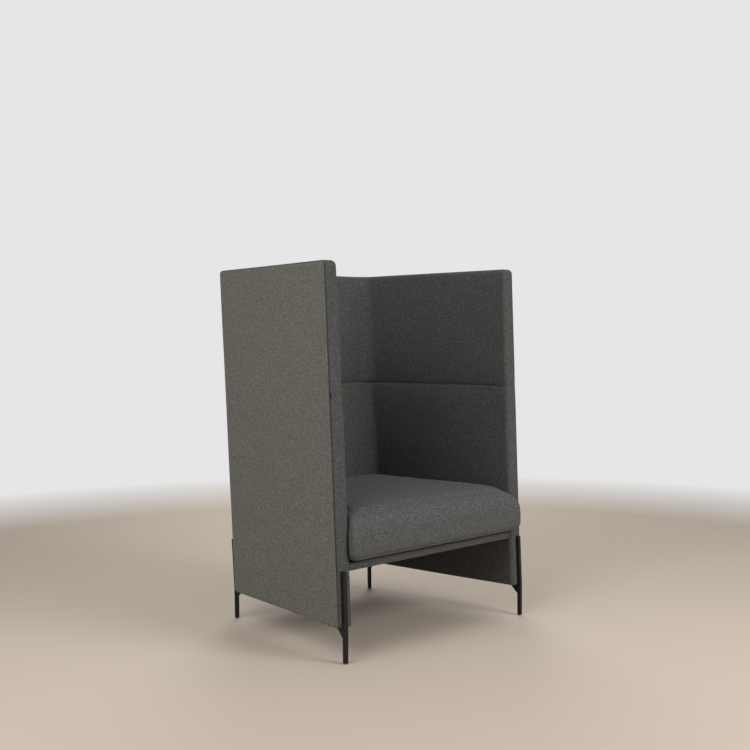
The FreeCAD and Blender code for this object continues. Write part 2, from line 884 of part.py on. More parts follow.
def build_legs(screws):
    """Four powder-coated legs, each screwed up into the edge of a board."""
    centre_rate = d.flare - WALL_TAN * d.back_rake
    front_lean = d.front_rake / WALL_COS - WALL_SIN * d.flare
    rear_lean = -(centre_rate * cosine(d.rear_leg_angle) + d.back_rake * sine(d.rear_leg_angle))
    for name, frame, lean, tongue in (("front_leg", front_leg_frame(), front_lean, d.front_tongue),
                                      ("rear_leg", rear_leg_frame(), rear_lean, d.rear_tongue)):
        blank = leg_body(name + "_blank", lean, tongue)
        x, y, turn = frame
        place(blank, x, y, 0, turn)
        keep_pair(name, cut(name + "_right", blank, screws))


def build_glides():
    """Plastic glides under the four legs."""
    right = []
    for number, frame in enumerate((front_leg_frame(), rear_leg_frame())):
        x, y = from_leg_frame(frame, fixed(0), -d.leg_bar / 2)
        glide = doc.addObject("Part::Cylinder", "glide%d" % number)
        glide.setExpression("Radius", (d.glide_diameter / 2).text)
        glide.setExpression("Height", d.glide_height.text)
        right.append(place(glide, x, y, 0, fixed(0)))
    right_pair = group("leg_glides_right", right)
    keep("leg_glides", group("leg_glides", [right_pair, mirrored("leg_glides_left", right_pair)]))


def lying_screw(name, turn):
    """Screw laid on its side by a rotation, held in a group that is then put in its place."""
    one = screw(name, d.rail_screw_length)
    one.Placement = FreeCAD.Placement(Vector(0, 0, 0), turn)
    return group(name + "_holder", [one])


def build_rail_screws():
    """Screws driven through the boards into the rails, with their heads sunk under the cover."""
    level = d.rail_bottom + d.rail_height / 2
    depth = BOARD_OUT + d.screw_sink
    inwards_from_right = FreeCAD.Rotation(0, -90, 0)
    inwards_from_back = FreeCAD.Rotation(0, 0, 90)
    right = []
    for number, y in enumerate((d.rail_front + d.rail_width / 2, fixed(-170), fixed(130))):
        holder = lying_screw("side_screw%d" % number, inwards_from_right)
        right.append(place(holder, wall_x(y, depth, level), y, level, d.splay_angle))
    right_row = group("rail_screws_right", right)
    rear = []
    for side in (-1, 1):
        holder = lying_screw("rear_screw%d" % (side + 1), inwards_from_back)
        rear.append(place(holder, side * 2 * d.strap_pitch, back_y(level) - depth, level, fixed(0)))
    left_row = mirrored("rail_screws_left", right_row)
    return keep("rail_screws", group("rail_screws", [right_row, left_row] + rear))


def build_chair():
    boards = build_boards()
    strips = build_closing_strips()
    leg_screws = build_leg_screws()
    build_covers()
    build_padding()
    build_bands()
    rails = build_rails()
    build_rail_cover(rails["front"])
    rail_screws = build_rail_screws()
    keep_pair("side_board", cut("side_board_right", boards["side"], leg_screws, rail_screws))
    keep_pair("corner_board", cut("corner_board_right", boards["corner"], leg_screws))
    keep("back_board", cut("back_board", boards["back"], rail_screws))
    keep_pair("side_strip", cut("side_strip_right", strips["side"], leg_screws))
    left_screws = mirrored("leg_screws_left", leg_screws)
    keep("back_strip", cut("back_strip", strips["back"], leg_screws, left_screws))
    keep("front_rail", cut("front_rail", rails["front"], rail_screws))
    keep_pair("side_rail", cut("side_rail_right", rails["side"], rail_screws))
    keep("rear_rail", cut("rear_rail", rails["rear"], rail_screws))
    keep_pair("corner_block", rails["block"])
    build_webbing()
    build_cloths()
    build_cushion()
    build_legs(leg_screws)
    build_glides()
    keep("leg_screws", group("leg_screws", [leg_screws, left_screws]))


def check_document():
    """Stop at anything that failed, so that no broken piece is written."""
    for item in doc.Objects:
        if "Invalid" in item.State or "Error" in item.State:
            raise RuntimeError("failed: %s %s" % (item.Name, item.State))
    for name, piece in PIECES.items():
        if piece.Shape.isNull() or not piece.Shape.isValid() or not piece.Shape.Solids:
            raise RuntimeError("bad shape: " + name)


def write_pieces():
    os.makedirs("parts", exist_ok=True)
    box = FreeCAD.BoundBox()
    for name, piece in PIECES.items():
        piece.Shape.exportStep("parts/%s.step" % name)
        box.add(piece.Shape.BoundBox)
        print("%-20s solids %2d  volume %10.0f mm3" % (name, len(piece.Shape.Solids), piece.Shape.Volume))
    print("box X %.1f..%.1f  Y %.1f..%.1f  Z %.1f..%.1f" % (
        box.XMin, box.XMax, box.YMin, box.YMax, box.ZMin, box.ZMax))


build_chair()
doc.recompute()
check_document()
write_pieces()
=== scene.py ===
# %% [markdown]
# # An acoustic high back lounge chair
# Three tall padded walls make a small booth that is open at the front. A loose, plump cushion lies between
# the walls, and four slim dark legs carry them. This lesson dresses the frame that the CAD part gives:
# fabric with its seams, the cushion, the powder-coated legs, and what shows underneath.
# Lengths are metres, X runs across the seat, the open front faces -Y, and Z points up.

import math

import bmesh
import bpy
import numpy as np
from mathutils import Matrix, Vector, noise


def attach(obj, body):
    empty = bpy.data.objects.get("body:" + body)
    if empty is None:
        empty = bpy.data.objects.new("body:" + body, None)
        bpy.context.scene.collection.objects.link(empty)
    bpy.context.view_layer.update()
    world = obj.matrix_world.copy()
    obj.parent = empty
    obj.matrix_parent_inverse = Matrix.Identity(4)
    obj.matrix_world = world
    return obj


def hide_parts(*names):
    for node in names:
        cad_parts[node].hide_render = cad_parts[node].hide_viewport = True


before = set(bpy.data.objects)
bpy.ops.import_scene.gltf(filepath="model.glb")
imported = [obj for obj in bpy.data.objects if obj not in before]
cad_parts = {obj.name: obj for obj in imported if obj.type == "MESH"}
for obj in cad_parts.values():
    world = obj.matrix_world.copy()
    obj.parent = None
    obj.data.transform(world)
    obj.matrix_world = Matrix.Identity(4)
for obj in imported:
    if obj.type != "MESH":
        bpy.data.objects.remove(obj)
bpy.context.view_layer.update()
print("frame with", len(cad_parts), "pieces")

# %% [markdown]
# ## Camera
# The camera comes first, because everything later is judged through it. It looks at the chair's left front
# corner from a little under the top of the walls, tipped down by two degrees and rolled by half a degree.

# %% Camera
IMAGE_WIDTH = 750
FOCAL_PIXELS = 1095.69
CAMERA_PLACE = Vector((-2.68877, -2.93802, 1.02947))
CAMERA_TURN = -0.7525
CAMERA_PITCH = 0.0350
CAMERA_ROLL = 0.0095


def camera_axes(turn, pitch, roll):
    """Right, up and backward directions of a camera that looks along +Y before it is turned."""
    right = Vector((math.cos(turn), math.sin(turn), 0))
    forward = Vector((
        -math.sin(turn) * math.cos(pitch),
        math.cos(turn) * math.cos(pitch),
        -math.sin(pitch),
    ))
    up = right.cross(forward)
    rolled_right = right * math.cos(roll) - up * math.sin(roll)
    rolled_up = up * math.cos(roll) + right * math.sin(roll)
    return rolled_right, rolled_up, -forward


camera_data = bpy.data.cameras.new("camera")
camera_data.sensor_width = 36
camera_data.lens = camera_data.sensor_width * FOCAL_PIXELS / IMAGE_WIDTH
camera = bpy.data.objects.new("camera", camera_data)
bpy.context.scene.collection.objects.link(camera)
axes = Matrix(camera_axes(CAMERA_TURN, CAMERA_PITCH, CAMERA_ROLL)).transposed().to_4x4()
camera.matrix_world = Matrix.Translation(CAMERA_PLACE) @ axes
bpy.context.scene.camera = camera
print("camera with a %.1f mm lens" % camera_data.lens)

# %% [markdown]
# ## Sizes of the shell
# The walls lean and open towards the front, so no edge of the shell is quite upright. Every later piece asks
# for its places with three numbers: how far along the wall, how deep under its outer face, and how high.

# %% Sizes of the shell
OVERALL_HEIGHT = 1.270
SHELL_BOTTOM = 0.114
HALF_WIDTH = 0.407
SPLAY = math.radians(6.17)
FLARE = 0.0104
FRONT_EDGE = -0.3707
FRONT_RAKE = 0.036
BACK_FACE = 0.3328
BACK_RAKE = 0.0516
CORNER_RADIUS = 0.100
COVER = 0.004
BOARD = 0.015
WALL = 0.048
SEAM_LEVEL = 0.846

MM = 0.001


def front_y(level):
    return FRONT_EDGE + FRONT_RAKE * level


def back_y(level):
    return BACK_FACE + BACK_RAKE * level


def wall_x(y, depth, level):
    """X of the right wall at a depth under its outer face."""
    return HALF_WIDTH + FLARE * level - math.tan(SPLAY) * y - depth / math.cos(SPLAY)


def wall_point(along, depth, level):
    """Point on the right wall, by the distance from its front edge."""
    y = front_y(level)
    x = wall_x(y, 0, level)
    return Vector((
        x - math.sin(SPLAY) * along - math.cos(SPLAY) * depth,
        y + math.cos(SPLAY) * along - math.sin(SPLAY) * depth,
        level,
    ))


def corner_centre(level, radius, side_depth, back_depth):
    """Middle of the arc that joins the side wall's and the back wall's faces at their depths."""
    y = back_y(level) - back_depth - radius
    return Vector((wall_x(y, side_depth + radius, level), y, level))


def side_length(level, radius, side_depth, back_depth):
    """Distance from the front edge to the place where the corner's arc begins."""
    touch = corner_centre(level, radius, side_depth, back_depth)
    touch_y = touch.y + (radius + side_depth) * math.sin(SPLAY)
    return (touch_y - front_y(level)) / math.cos(SPLAY)


print("side wall is %.0f mm long at the seat" % (1000 * side_length(0.45, CORNER_RADIUS, 0, 0)))

# %% [markdown]
# ## Writing shader maths as Python
# A material is a tree of nodes. Wiring Math nodes by hand is slow to write and hard to read, so a small
# class wraps a socket: adding or multiplying two of them adds the Math node that does it. Every other node
# comes from one function that takes its type, its settings and its inputs.

# %% A socket that can be calculated with
def put_node(tree, kind, settings=None, inputs=None, output=0):
    """Add a node, set it up, fill its sockets with values or wires, and return one output as a Wire."""
    node = tree.nodes.new(kind)
    for name, value in (settings or {}).items():
        if name == "stops":
            set_stops(node.color_ramp, value)
        else:
            setattr(node, name, value)
    for key, value in (inputs or {}).items():
        socket = node.inputs[key]
        if isinstance(value, Wire):
            tree.links.new(value.socket, socket)
        else:
            socket.default_value = value
    return Wire(tree, node.outputs[output]) if node.outputs else None


def set_stops(ramp, stops):
    while len(ramp.elements) < len(stops):
        ramp.elements.new(0.5)
    for element, (position, colour) in zip(ramp.elements, stops):
        element.position = position
        element.color = colour


class Wire:
    """An output socket that Python's operators work on."""

    def __init__(self, tree, socket):
        self.tree = tree
        self.socket = socket

    def calculate(self, operation, *values):
        return put_node(self.tree, "ShaderNodeMath", {"operation": operation}, dict(enumerate(values)))

    def __add__(self, other):
        return self.calculate("ADD", self, other)

    def __sub__(self, other):
        return self.calculate("SUBTRACT", self, other)

    def __mul__(self, other):
        return self.calculate("MULTIPLY", self, other)

    def __truediv__(self, other):
        return self.calculate("DIVIDE", self, other)

    def __gt__(self, other):
        return self.calculate("GREATER_THAN", self, other)

    def __abs__(self):
        return self.calculate("ABSOLUTE", self)

    def sine(self):
        return self.calculate("SINE", self)

    def between(self, low, high):
        """The wire moved to 0 at low and 1 at high, and held there."""
        return put_node(self.tree, "ShaderNodeMapRange", {"clamp": True},
                        {"Value": self, "From Min": low, "From Max": high})


def either(mask, if_on, if_off):
    """One of two numbers, or a mix where the mask is between 0 and 1."""
    return if_off + mask * (if_on - if_off)


def mix_colours(mask, if_off, if_on):
    return put_node(mask.tree, "ShaderNodeMix", {"data_type": "RGBA"}, {0: mask, 6: if_off, 7: if_on}, 2)


def split(vector):
    parts = put_node(vector.tree, "ShaderNodeSeparateXYZ", inputs={0: vector})
    outputs = parts.socket.node.outputs
    return [Wire(vector.tree, outputs[index]) for index in range(3)]


def join(tree, x, y, z):
    return put_node(tree, "ShaderNodeCombineXYZ", inputs={0: x, 1: y, 2: z})


def cloudy(place, scale, detail=2.0, roughness=0.5):
    """Soft noise from 0 to 1 on a place."""
    return put_node(place.tree, "ShaderNodeTexNoise", inputs={
        "Vector": place, "Scale": scale, "Detail": detail, "Roughness": roughness})


def new_material(name):
    """Material with only a Principled shader in it; returns the material, its tree and the shader."""
    material = bpy.data.materials.new(name)
    material.use_nodes = True
    tree = material.node_tree
    shader = next(node for node in tree.nodes if node.type == "BSDF_PRINCIPLED")
    return material, tree, shader


def plug(shader, **values):
    """Fill the shader's sockets; a socket's name is written with _ for each blank."""
    for name, value in values.items():
        socket = shader.inputs[name.replace("_", " ")]
        if isinstance(value, Wire):
            value.tree.links.new(value.socket, socket)
        else:
            socket.default_value = value


def own_place(tree):
    """Place of a surface point in the object's own coordinates, which are metres here."""
    return put_node(tree, "ShaderNodeTexCoord", output="Object")


def raised(height, strength, distance):
    """Direction of a surface that a height pattern lifts by a distance in metres."""
    return put_node(height.tree, "ShaderNodeBump", inputs={
        "Height": height, "Strength": strength, "Distance": distance}, output="Normal")


print("shader maths ready")

# %% [markdown]
# ## Wool fabric
# The real fabric is a plain weave of heathered wool: each yarn mixes dark, mid and light fibres, so that the
# cloth is a calm grey from afar and speckled from near. The weave is laid on flat along whichever two axes
# the surface faces least, which needs no unwrapping. Yarn colours change slowly along a yarn and quickly
# across it, so the speckles are short strokes along both thread directions. Where the fabric goes down into
# a seam, the groove's shadow is painted into its colour as near black, by an attribute that the panels carry.

# %% Wool fabric
YARN = 1.8 * MM
STROKE = 4 * YARN
FIBRES_PER_METRE = 1000
PATCHES_PER_METRE = 7
# Painted shade: the near black that is mixed into the fabric down in a seam, for the groove's shadow
SEAM_SHADOW_COLOUR = (0.006, 0.006, 0.006, 1)
SHEEN_TINT = (0.75, 0.77, 0.80, 1)


def flat_place(tree):
    """Two coordinates on the surface, picked by the axis that it faces most."""
    x, y, z = split(own_place(tree))
    facing = put_node(tree, "ShaderNodeTexCoord", output="Normal")
    face_x, face_y, face_z = split(facing)
    lies_flat = abs(face_z) > 0.75
    is_side = abs(face_x) > abs(face_y)
    across = either(lies_flat, x, either(is_side, y, x))
    along = either(lies_flat, y, z)
    return across, along


def yarn_colour(tree, across, along, seed):
    """Noise drawn out along one thread direction, from 0 to 1."""
    stretched = join(tree, across / YARN, along / STROKE, seed)
    return cloudy(stretched, 1.0, 1.0, 0.6)


def wool(name, dark, middle, light, sheen):
    """Heathered plain weave with dark, middle and light fibres."""
    material, tree, shader = new_material(name)
    across, along = flat_place(tree)
    place = own_place(tree)
    warp_lift = (across * (math.pi / YARN)).sine()
    weft_lift = (along * (math.pi / YARN)).sine()
    woven = warp_lift * weft_lift
    warp_on_top = woven.between(-0.15, 0.15)
    warp_tone = yarn_colour(tree, across, along, 1.7)
    weft_tone = yarn_colour(tree, along, across, 8.3)
    fibres = cloudy(place, FIBRES_PER_METRE, 2.0, 0.7)
    tone = either(warp_on_top, warp_tone, weft_tone) * 0.66 + fibres * 0.34
    heather = put_node(tree, "ShaderNodeValToRGB", {"stops": [
        (0.32, dark), (0.50, middle), (0.68, light)]}, {0: tone})
    patchy = cloudy(place, PATCHES_PER_METRE, 3.0, 0.6).between(0.3, 0.7)
    calm = mix_colours(patchy * 0.22, heather, middle)
    # Painted shade: the attribute marks where the fabric goes down into a seam, and near black is mixed in
    # there as the groove's shadow
    painted_seam_shadow = put_node(tree, "ShaderNodeAttribute", {"attribute_name": "seam_shade"}, output="Fac")
    shaded = mix_colours(painted_seam_shadow, calm, SEAM_SHADOW_COLOUR)
    weave = abs(woven) * 0.7 + fibres * 0.5
    plug(shader, Base_Color=shaded, Roughness=0.9, Specular_IOR_Level=0.1,
         Sheen_Weight=sheen, Sheen_Roughness=0.45, Sheen_Tint=SHEEN_TINT,
         Normal=raised(weave, 0.35, 0.45 * MM))
    return material


# One wool in three copies with fitted tones: the outer one is lighter as painted light, the inner one darker
# as painted shade inside the walls, and the seat one lies between them
lit_outer_wool = wool("lit_outer_wool", dark=(0.050, 0.050, 0.043, 1), middle=(0.141, 0.141, 0.124, 1),
                  light=(0.350, 0.348, 0.312, 1), sheen=0.12)
shaded_inner_wool = wool("shaded_inner_wool", dark=(0.023, 0.023, 0.023, 1), middle=(0.073, 0.074, 0.072, 1),
                  light=(0.195, 0.195, 0.192, 1), sheen=0.10)
seat_wool = wool("seat_wool", dark=(0.027, 0.027, 0.027, 1), middle=(0.088, 0.089, 0.088, 1),
                 light=(0.230, 0.231, 0.231, 1), sheen=0.05)
print("fabrics", lit_outer_wool.name, shaded_inner_wool.name, seat_wool.name)

# %% [markdown]
# ## Metal, wood and the hidden materials
# Powder coat is baked plastic powder: nearly black, half matt, with the faint bumps of an orange's skin.
# Plywood shows its layers on the cut edges, beech its short dark flecks, and the cloth under a seat is a
# thin felt of pressed fibres.

# %% Metal, wood and the hidden materials
PLY = 1.5 * MM
RIB = 2.2 * MM
THREAD_TWIST = 0.6 * MM


def powder_coat():
    material, tree, shader = new_material("powder_coat")
    place = own_place(tree)
    skin = cloudy(place, 900, 2.0)
    tint = mix_colours(cloudy(place, 30, 3.0), (0.006, 0.006, 0.006, 1), (0.011, 0.011, 0.011, 1))
    plug(shader, Base_Color=tint, Roughness=skin * 0.12 + 0.46, Specular_IOR_Level=0.2,
         Normal=raised(skin, 0.25, 0.15 * MM))
    return material


def plastic(name, colour, roughness):
    material, tree, shader = new_material(name)
    grain = cloudy(own_place(tree), 700, 3.0)
    lighter = tuple(channel * 1.5 for channel in colour[:3]) + (1,)
    plug(shader, Base_Color=mix_colours(grain, colour, lighter), Roughness=grain * 0.2 + roughness,
         Normal=raised(grain, 0.2, 0.1 * MM))
    return material


def plywood():
    material, tree, shader = new_material("plywood")
    x, y, z = split(own_place(tree))
    fibres = cloudy(join(tree, x * 60, y * 60, z * 6), 1.0, 4.0)
    layers = ((x + y) * (math.pi / PLY)).sine().between(-0.6, 0.6)
    face = mix_colours(fibres, (0.50, 0.35, 0.20, 1), (0.68, 0.52, 0.34, 1))
    plug(shader, Base_Color=mix_colours(layers * 0.18, face, (0.30, 0.19, 0.10, 1)), Roughness=0.75,
         Normal=raised(fibres, 0.3, 0.2 * MM))
    return material


def beech():
    material, tree, shader = new_material("beech")
    x, y, z = split(own_place(tree))
    flecks = cloudy(join(tree, x * 25, y * 25, z * 400), 1.0, 3.0)
    plug(shader, Base_Color=mix_colours(flecks, (0.50, 0.33, 0.20, 1), (0.70, 0.52, 0.36, 1)),
         Roughness=0.6, Normal=raised(flecks, 0.2, 0.15 * MM))
    return material


def pressed_felt():
    material, tree, shader = new_material("pressed_felt")
    place = own_place(tree)
    fibres = cloudy(place, 500, 4.0, 0.7)
    dimples = put_node(tree, "ShaderNodeTexVoronoi", inputs={"Vector": place, "Scale": 450})
    plug(shader, Base_Color=mix_colours(fibres, (0.008, 0.008, 0.009, 1), (0.035, 0.035, 0.037, 1)),
         Roughness=0.95, Normal=raised(fibres + dimples * 0.5, 0.35, 0.2 * MM))
    return material


def elastic():
    material, tree, shader = new_material("elastic")
    x, y, z = split(own_place(tree))
    ribs = (x * (math.pi / RIB)).sine() * (y * (math.pi / RIB)).sine()
    tone = ribs.between(-1, 1)
    plug(shader, Base_Color=mix_colours(tone, (0.34, 0.30, 0.23, 1), (0.62, 0.57, 0.47, 1)),
         Roughness=0.8, Normal=raised(tone, 0.5, 0.3 * MM))
    return material


def steel():
    material, tree, shader = new_material("zinc_steel")
    scratches = cloudy(own_place(tree), 1500, 3.0)
    plug(shader, Base_Color=mix_colours(scratches, (0.42, 0.42, 0.43, 1), (0.60, 0.60, 0.58, 1)),
         Metallic=1.0, Roughness=scratches * 0.2 + 0.25)
    return material


def seam_shadow_thread():
    material, tree, shader = new_material("seam_shadow_thread")
    x, y, z = split(own_place(tree))
    twist = ((x + y + z) * (math.pi / THREAD_TWIST)).sine().between(-1, 1)
    # Partly painted shade: a real thread, but near black so that each seam reads as a dark shadow line; the
    # twist is the thread's own pattern
    plug(shader, Base_Color=mix_colours(twist, (0.008, 0.008, 0.008, 1), (0.022, 0.022, 0.021, 1)),
         Roughness=0.6)
    return material


coat = powder_coat()
black_plastic = plastic("black_plastic", (0.010, 0.010, 0.010, 1), 0.45)
strip_plastic = plastic("strip_plastic", (0.014, 0.014, 0.014, 1), 0.7)
birch = plywood()
beech_wood = beech()
felt = pressed_felt()
elastic_web = elastic()
zinc = steel()
# The stitches' near-black thread is painted shade for the seams' shadow
thread = seam_shadow_thread()
print("hard and hidden materials ready")

# %% [markdown]
# ## Helpers that turn points into pieces
# A panel is a sheet of points in rows and columns. Its mesh is filled in one go, shaded smooth and given the
# thickness of the fabric with its backing by a Solidify modifier that is applied at once.

# %% Helpers that turn points into pieces
def new_object(name, data):
    piece = bpy.data.objects.new(name, data)
    bpy.context.scene.collection.objects.link(piece)
    return piece


def add_piece(name, points, faces, material):
    mesh = bpy.data.meshes.new(name)
    mesh.from_pydata([tuple(point) for point in points], [], faces)
    mesh.materials.append(material)
    mesh.polygons.foreach_set("use_smooth", [True] * len(mesh.polygons))
    return new_object(name, mesh)


def grid_faces(rows, columns, closed=False):
    """Quads between neighbouring rows; a closed grid joins its last column to its first."""
    faces = []
    last = columns if closed else columns - 1
    for row in range(rows - 1):
        for column in range(last):
            following = (column + 1) % columns
            start = row * columns
            above = start + columns
            faces.append((start + column, start + following, above + following, above + column))
    return faces


def sheet_piece(name, rows, material, closed=False):
    points = [point for row in rows for point in row]
    return add_piece(name, points, grid_faces(len(rows), len(rows[0]), closed), material)


def make_plain(piece):
    """Bake all modifiers of a piece into its mesh."""
    bpy.context.view_layer.update()
    evaluated = piece.evaluated_get(bpy.context.evaluated_depsgraph_get())
    mesh = bpy.data.meshes.new_from_object(evaluated)
    piece.modifiers.clear()
    piece.data = mesh
    return piece


def thicken(piece, thickness):
    """Give a sheet its thickness on the side away from its faces' front."""
    solidify = piece.modifiers.new("thickness", "SOLIDIFY")
    solidify.thickness = thickness
    solidify.offset = -1
    return make_plain(piece)


def flipped(piece):
    """The same piece with its faces turned round."""
    piece.data.flip_normals()
    return piece


def even_steps(start, end, count):
    """Numbers in even steps from start to end, with both in."""
    return [start + (end - start) * share for share in even_shares(count)]


def even_shares(count):
    return [number / (count - 1) for number in range(count)]


def turned(angle):
    """Direction in plan at an angle from the X direction."""
    return Vector((math.cos(angle), math.sin(angle), 0))


def mirrored(line):
    return [Vector((-point.x, point.y, point.z)) for point in line]


def whole_line(half):
    """A half line that ends in the middle, carried on to its mirror image's start."""
    return half + list(reversed(mirrored(half)))[1:]


def curve_between(rows, level, column):
    """Value of a column in a table of levels, joined by smooth steps that never overshoot."""
    levels = [row[0] for row in rows]
    values = [row[column] for row in rows]
    if level <= levels[0]:
        return values[0]
    for index in range(len(levels) - 1):
        if level <= levels[index + 1]:
            return hermite(levels, values, index, level)
    return values[-1]


def hermite(levels, values, index, level):
    """Cubic piece between two table rows, with slopes limited by the neighbouring steps."""
    step = levels[index + 1] - levels[index]
    share = (level - levels[index]) / step
    first = limited_slope(levels, values, index) * step
    last = limited_slope(levels, values, index + 1) * step
    low, high = values[index], values[index + 1]
    return (low * (2 * share ** 3 - 3 * share ** 2 + 1) + first * (share ** 3 - 2 * share ** 2 + share)
            + high * (3 * share ** 2 - 2 * share ** 3) + last * (share ** 3 - share ** 2))


def limited_slope(levels, values, index):
    if index in (0, len(levels) - 1):
        near = min(index, len(levels) - 2)
        return (values[near + 1] - values[near]) / (levels[near + 1] - levels[near])
    before = (values[index] - values[index - 1]) / (levels[index] - levels[index - 1])
    after = (values[index + 1] - values[index]) / (levels[index + 1] - levels[index])
    if before * after <= 0:
        return 0
    return 2 * before * after / (before + after)


def ripple(point, size, seed):
    """Gentle, repeatable unevenness from -1 to 1."""
    return noise.noise(Vector(point) / size + Vector((seed, seed * 1.7, seed * 0.3)))


print("helpers ready")

# %% [markdown]
# ## Rounded rims
# Where two panels meet at an edge, both turn inwards and leave a narrow groove with the seam at its bottom.
# A rim is a short list of steps: how far the fabric has come in from the edge, and how deep it lies. At a
# top corner the two rims meet, and the grid's lines there are bent onto quarter circles round one centre.

# %% Rounded rims
# Millimetres from the edge, and millimetres under the outer face
OUTER_RIM = [(8.4, 8.4), (7.6, 5.2), (5.6, 2.9), (4.2, 1.4), (4.3, 0.5), (5.7, 0.1), (8.6, 0.0), (14.0, 0.0)]
INNER_SEAM = [(depth, inset) for inset, depth in OUTER_RIM]
WRAP_RADIUS = 14 * MM
WRAP_STEPS = 7
SIDE_CORNER = 16 * MM
# Painted shade for the groove's shadow: how dark the fabric's first steps out of a groove are, at a rounded
# edge and at a flat seam
EDGE_SHADE = [1.0, 1.0, 0.95, 0.75, 0.15]
FLAT_SHADE = [1.0, 0.8, 0.3]


def outer_rim():
    """Steps from the seam in the groove out onto the outer face, in metres."""
    return [(inset * MM, depth * MM) for inset, depth in OUTER_RIM]


def inner_rim(wall):
    """Steps from the seam across the wall's edge and round onto its inner face, in metres."""
    steps = [(inset * MM, depth * MM) for inset, depth in INNER_SEAM]
    straight_end = wall - WRAP_RADIUS
    steps.append((0, (steps[-1][1] + straight_end) / 2))
    for number in range(WRAP_STEPS + 1):
        angle = math.pi / 2 * number / WRAP_STEPS
        steps.append((WRAP_RADIUS * (1 - math.cos(angle)), straight_end + WRAP_RADIUS * math.sin(angle)))
    return steps


def seam_shares(count, at_start, at_end):
    """Painted shade from 0 to 1 for each step of a grid, dark at the ends that lie in a seam's shadow."""
    shares = [0.0] * count
    for index, share in enumerate(at_start):
        shares[index] = share
    for index, share in enumerate(at_end):
        shares[-1 - index] = share
    return shares


def shade_seams(piece, row_shares, column_shares, tier_shares=None):
    """Give a grid its painted seam shade; the seam between the tiers stops short of the walls' front edges.
    """
    rim = len(inner_rim(WALL))
    values = []
    for row_index, row in enumerate(row_shares):
        for column_index, column in enumerate(column_shares):
            inside = rim <= column_index < len(column_shares) - rim
            tier = tier_shares[row_index] if tier_shares and inside else 0
            values.append(max(row, column, tier))
    piece.data.attributes.new("seam_shade", "FLOAT", "POINT").data.foreach_set("value", values)


def bend_corner(row, column, insets, middle):
    """Inset from the front and from the top of a grid point near the rounded top corner."""
    if row >= middle or column >= middle:
        return insets[column], insets[row]
    loop = min(row, column)
    reach = SIDE_CORNER - insets[loop]
    along = (max(row, column) - loop) / (middle - loop)
    angle = math.pi / 4 * (1 - along if row > column else 1 + along)
    if row == column:
        angle = math.pi / 4
    return SIDE_CORNER - reach * math.cos(angle), SIDE_CORNER - reach * math.sin(angle)


print("rim of", len(inner_rim(WALL)), "steps")

# %% [markdown]
# ## Outer panels
# On the outside, one panel wraps each side wall and its rear corner, and a third covers the back between two
# upright seams. Each is stretched over thin acoustic felt, so it is nearly flat, with soft shoulders along
# its seams and a hem that turns under the wall.

# %% Outer panels
SIDE_STATIONS = 46
CORNER_STATIONS = 12
BACK_STATIONS = 30
PANEL_ROWS = 72
FABRIC = 2.2 * MM
OUTER_SWELL = 0.5 * MM
# Half width of the flat back, and distance of its seams from there towards the middle
BACK_HALF = corner_centre(0.6, CORNER_RADIUS, 0, 0).x
BACK_SEAM = 7 * MM

# Millimetres above the hem, and millimetres that the fabric is turned in there
HEM_GAP = 2 * MM
HEM = [(6.0, 0.0), (2.6, 0.2), (1.0, 1.2), (0.4, 3.5)]
# Millimetres from an upright seam of the back, and millimetres that the fabric is drawn in there
REAR_GROOVE = [(0.0, 2.4), (0.6, 1.3), (1.4, 0.5), (3.0, 0.12), (6.0, 0.0)]


def outer_place(kind, value, depth, level, inset):
    """Point on the outer skin of the right half at a depth under the face."""
    radius = CORNER_RADIUS - depth
    centre = corner_centre(level, radius, depth, depth)
    if kind == "edge":
        return wall_point(inset, depth, level)
    if kind == "side":
        length = side_length(level, radius, depth, depth)
        return wall_point(SIDE_CORNER + value * (length - SIDE_CORNER), depth, level)
    if kind == "corner":
        return centre + turned(SPLAY + value * (math.pi / 2 - SPLAY)) * radius
    return Vector((centre.x * (1 - value), centre.y + radius, level))


def outer_rows():
    """Inset from the top, and depth, of every row of an outer panel, from the top down to the hem."""
    lowest = OVERALL_HEIGHT - SHELL_BOTTOM - HEM_GAP
    rows = outer_rim()
    rows += [(inset, 0.0) for inset in even_steps(SIDE_CORNER, lowest - 10 * MM, PANEL_ROWS)]
    rows += [(lowest - above * MM, depth * MM) for above, depth in HEM]
    return rows


def swollen(point, amount, seed):
    """How far the fabric stands off its even face at a point."""
    return amount * ripple(point, 0.16, seed) + 0.25 * amount * ripple(point, 0.035, seed + 9)


def outer_skin(columns):
    """Rows of points for the right half of the outside, over the given columns."""
    rim = outer_rim()
    insets = [step[0] for step in rim]
    rows = []
    for row_index, (top_inset, row_depth) in enumerate(outer_rows()):
        row = []
        for column_index, (kind, value, sink) in enumerate(columns):
            in_rim = row_index < len(rim)
            inset_front, inset_top, lift = 0, top_inset, 0
            if kind == "edge" and in_rim:
                inset_front, inset_top = bend_corner(row_index, column_index, insets, len(rim))
                depth = rim[min(row_index, column_index)][1]
            elif kind == "edge":
                inset_front = insets[column_index]
                depth = max(row_depth, rim[column_index][1])
            elif in_rim:
                depth = max(row_depth, sink)
            else:
                depth = row_depth + sink
                even = outer_place(kind, value, depth, OVERALL_HEIGHT - inset_top, 0)
                lift = swollen(even, OUTER_SWELL, 3)
            level = OVERALL_HEIGHT - inset_top
            row.append(outer_place(kind, value, depth + lift, level, inset_front))
        rows.append(row)
    return rows


def side_columns():
    columns = [("edge", 0, 0) for _ in outer_rim()]
    columns += [("side", share, 0) for share in even_shares(SIDE_STATIONS)]
    columns += [("corner", share, 0) for share in even_shares(CORNER_STATIONS)[1:]]
    columns += reversed(groove_columns(-1))
    return columns


def groove_columns(side):
    """Columns from an upright seam of the back towards the corner (-1) or the middle (1)."""
    return [("back", (BACK_SEAM + side * distance * MM) / BACK_HALF, sink * MM)
            for distance, sink in REAR_GROOVE]


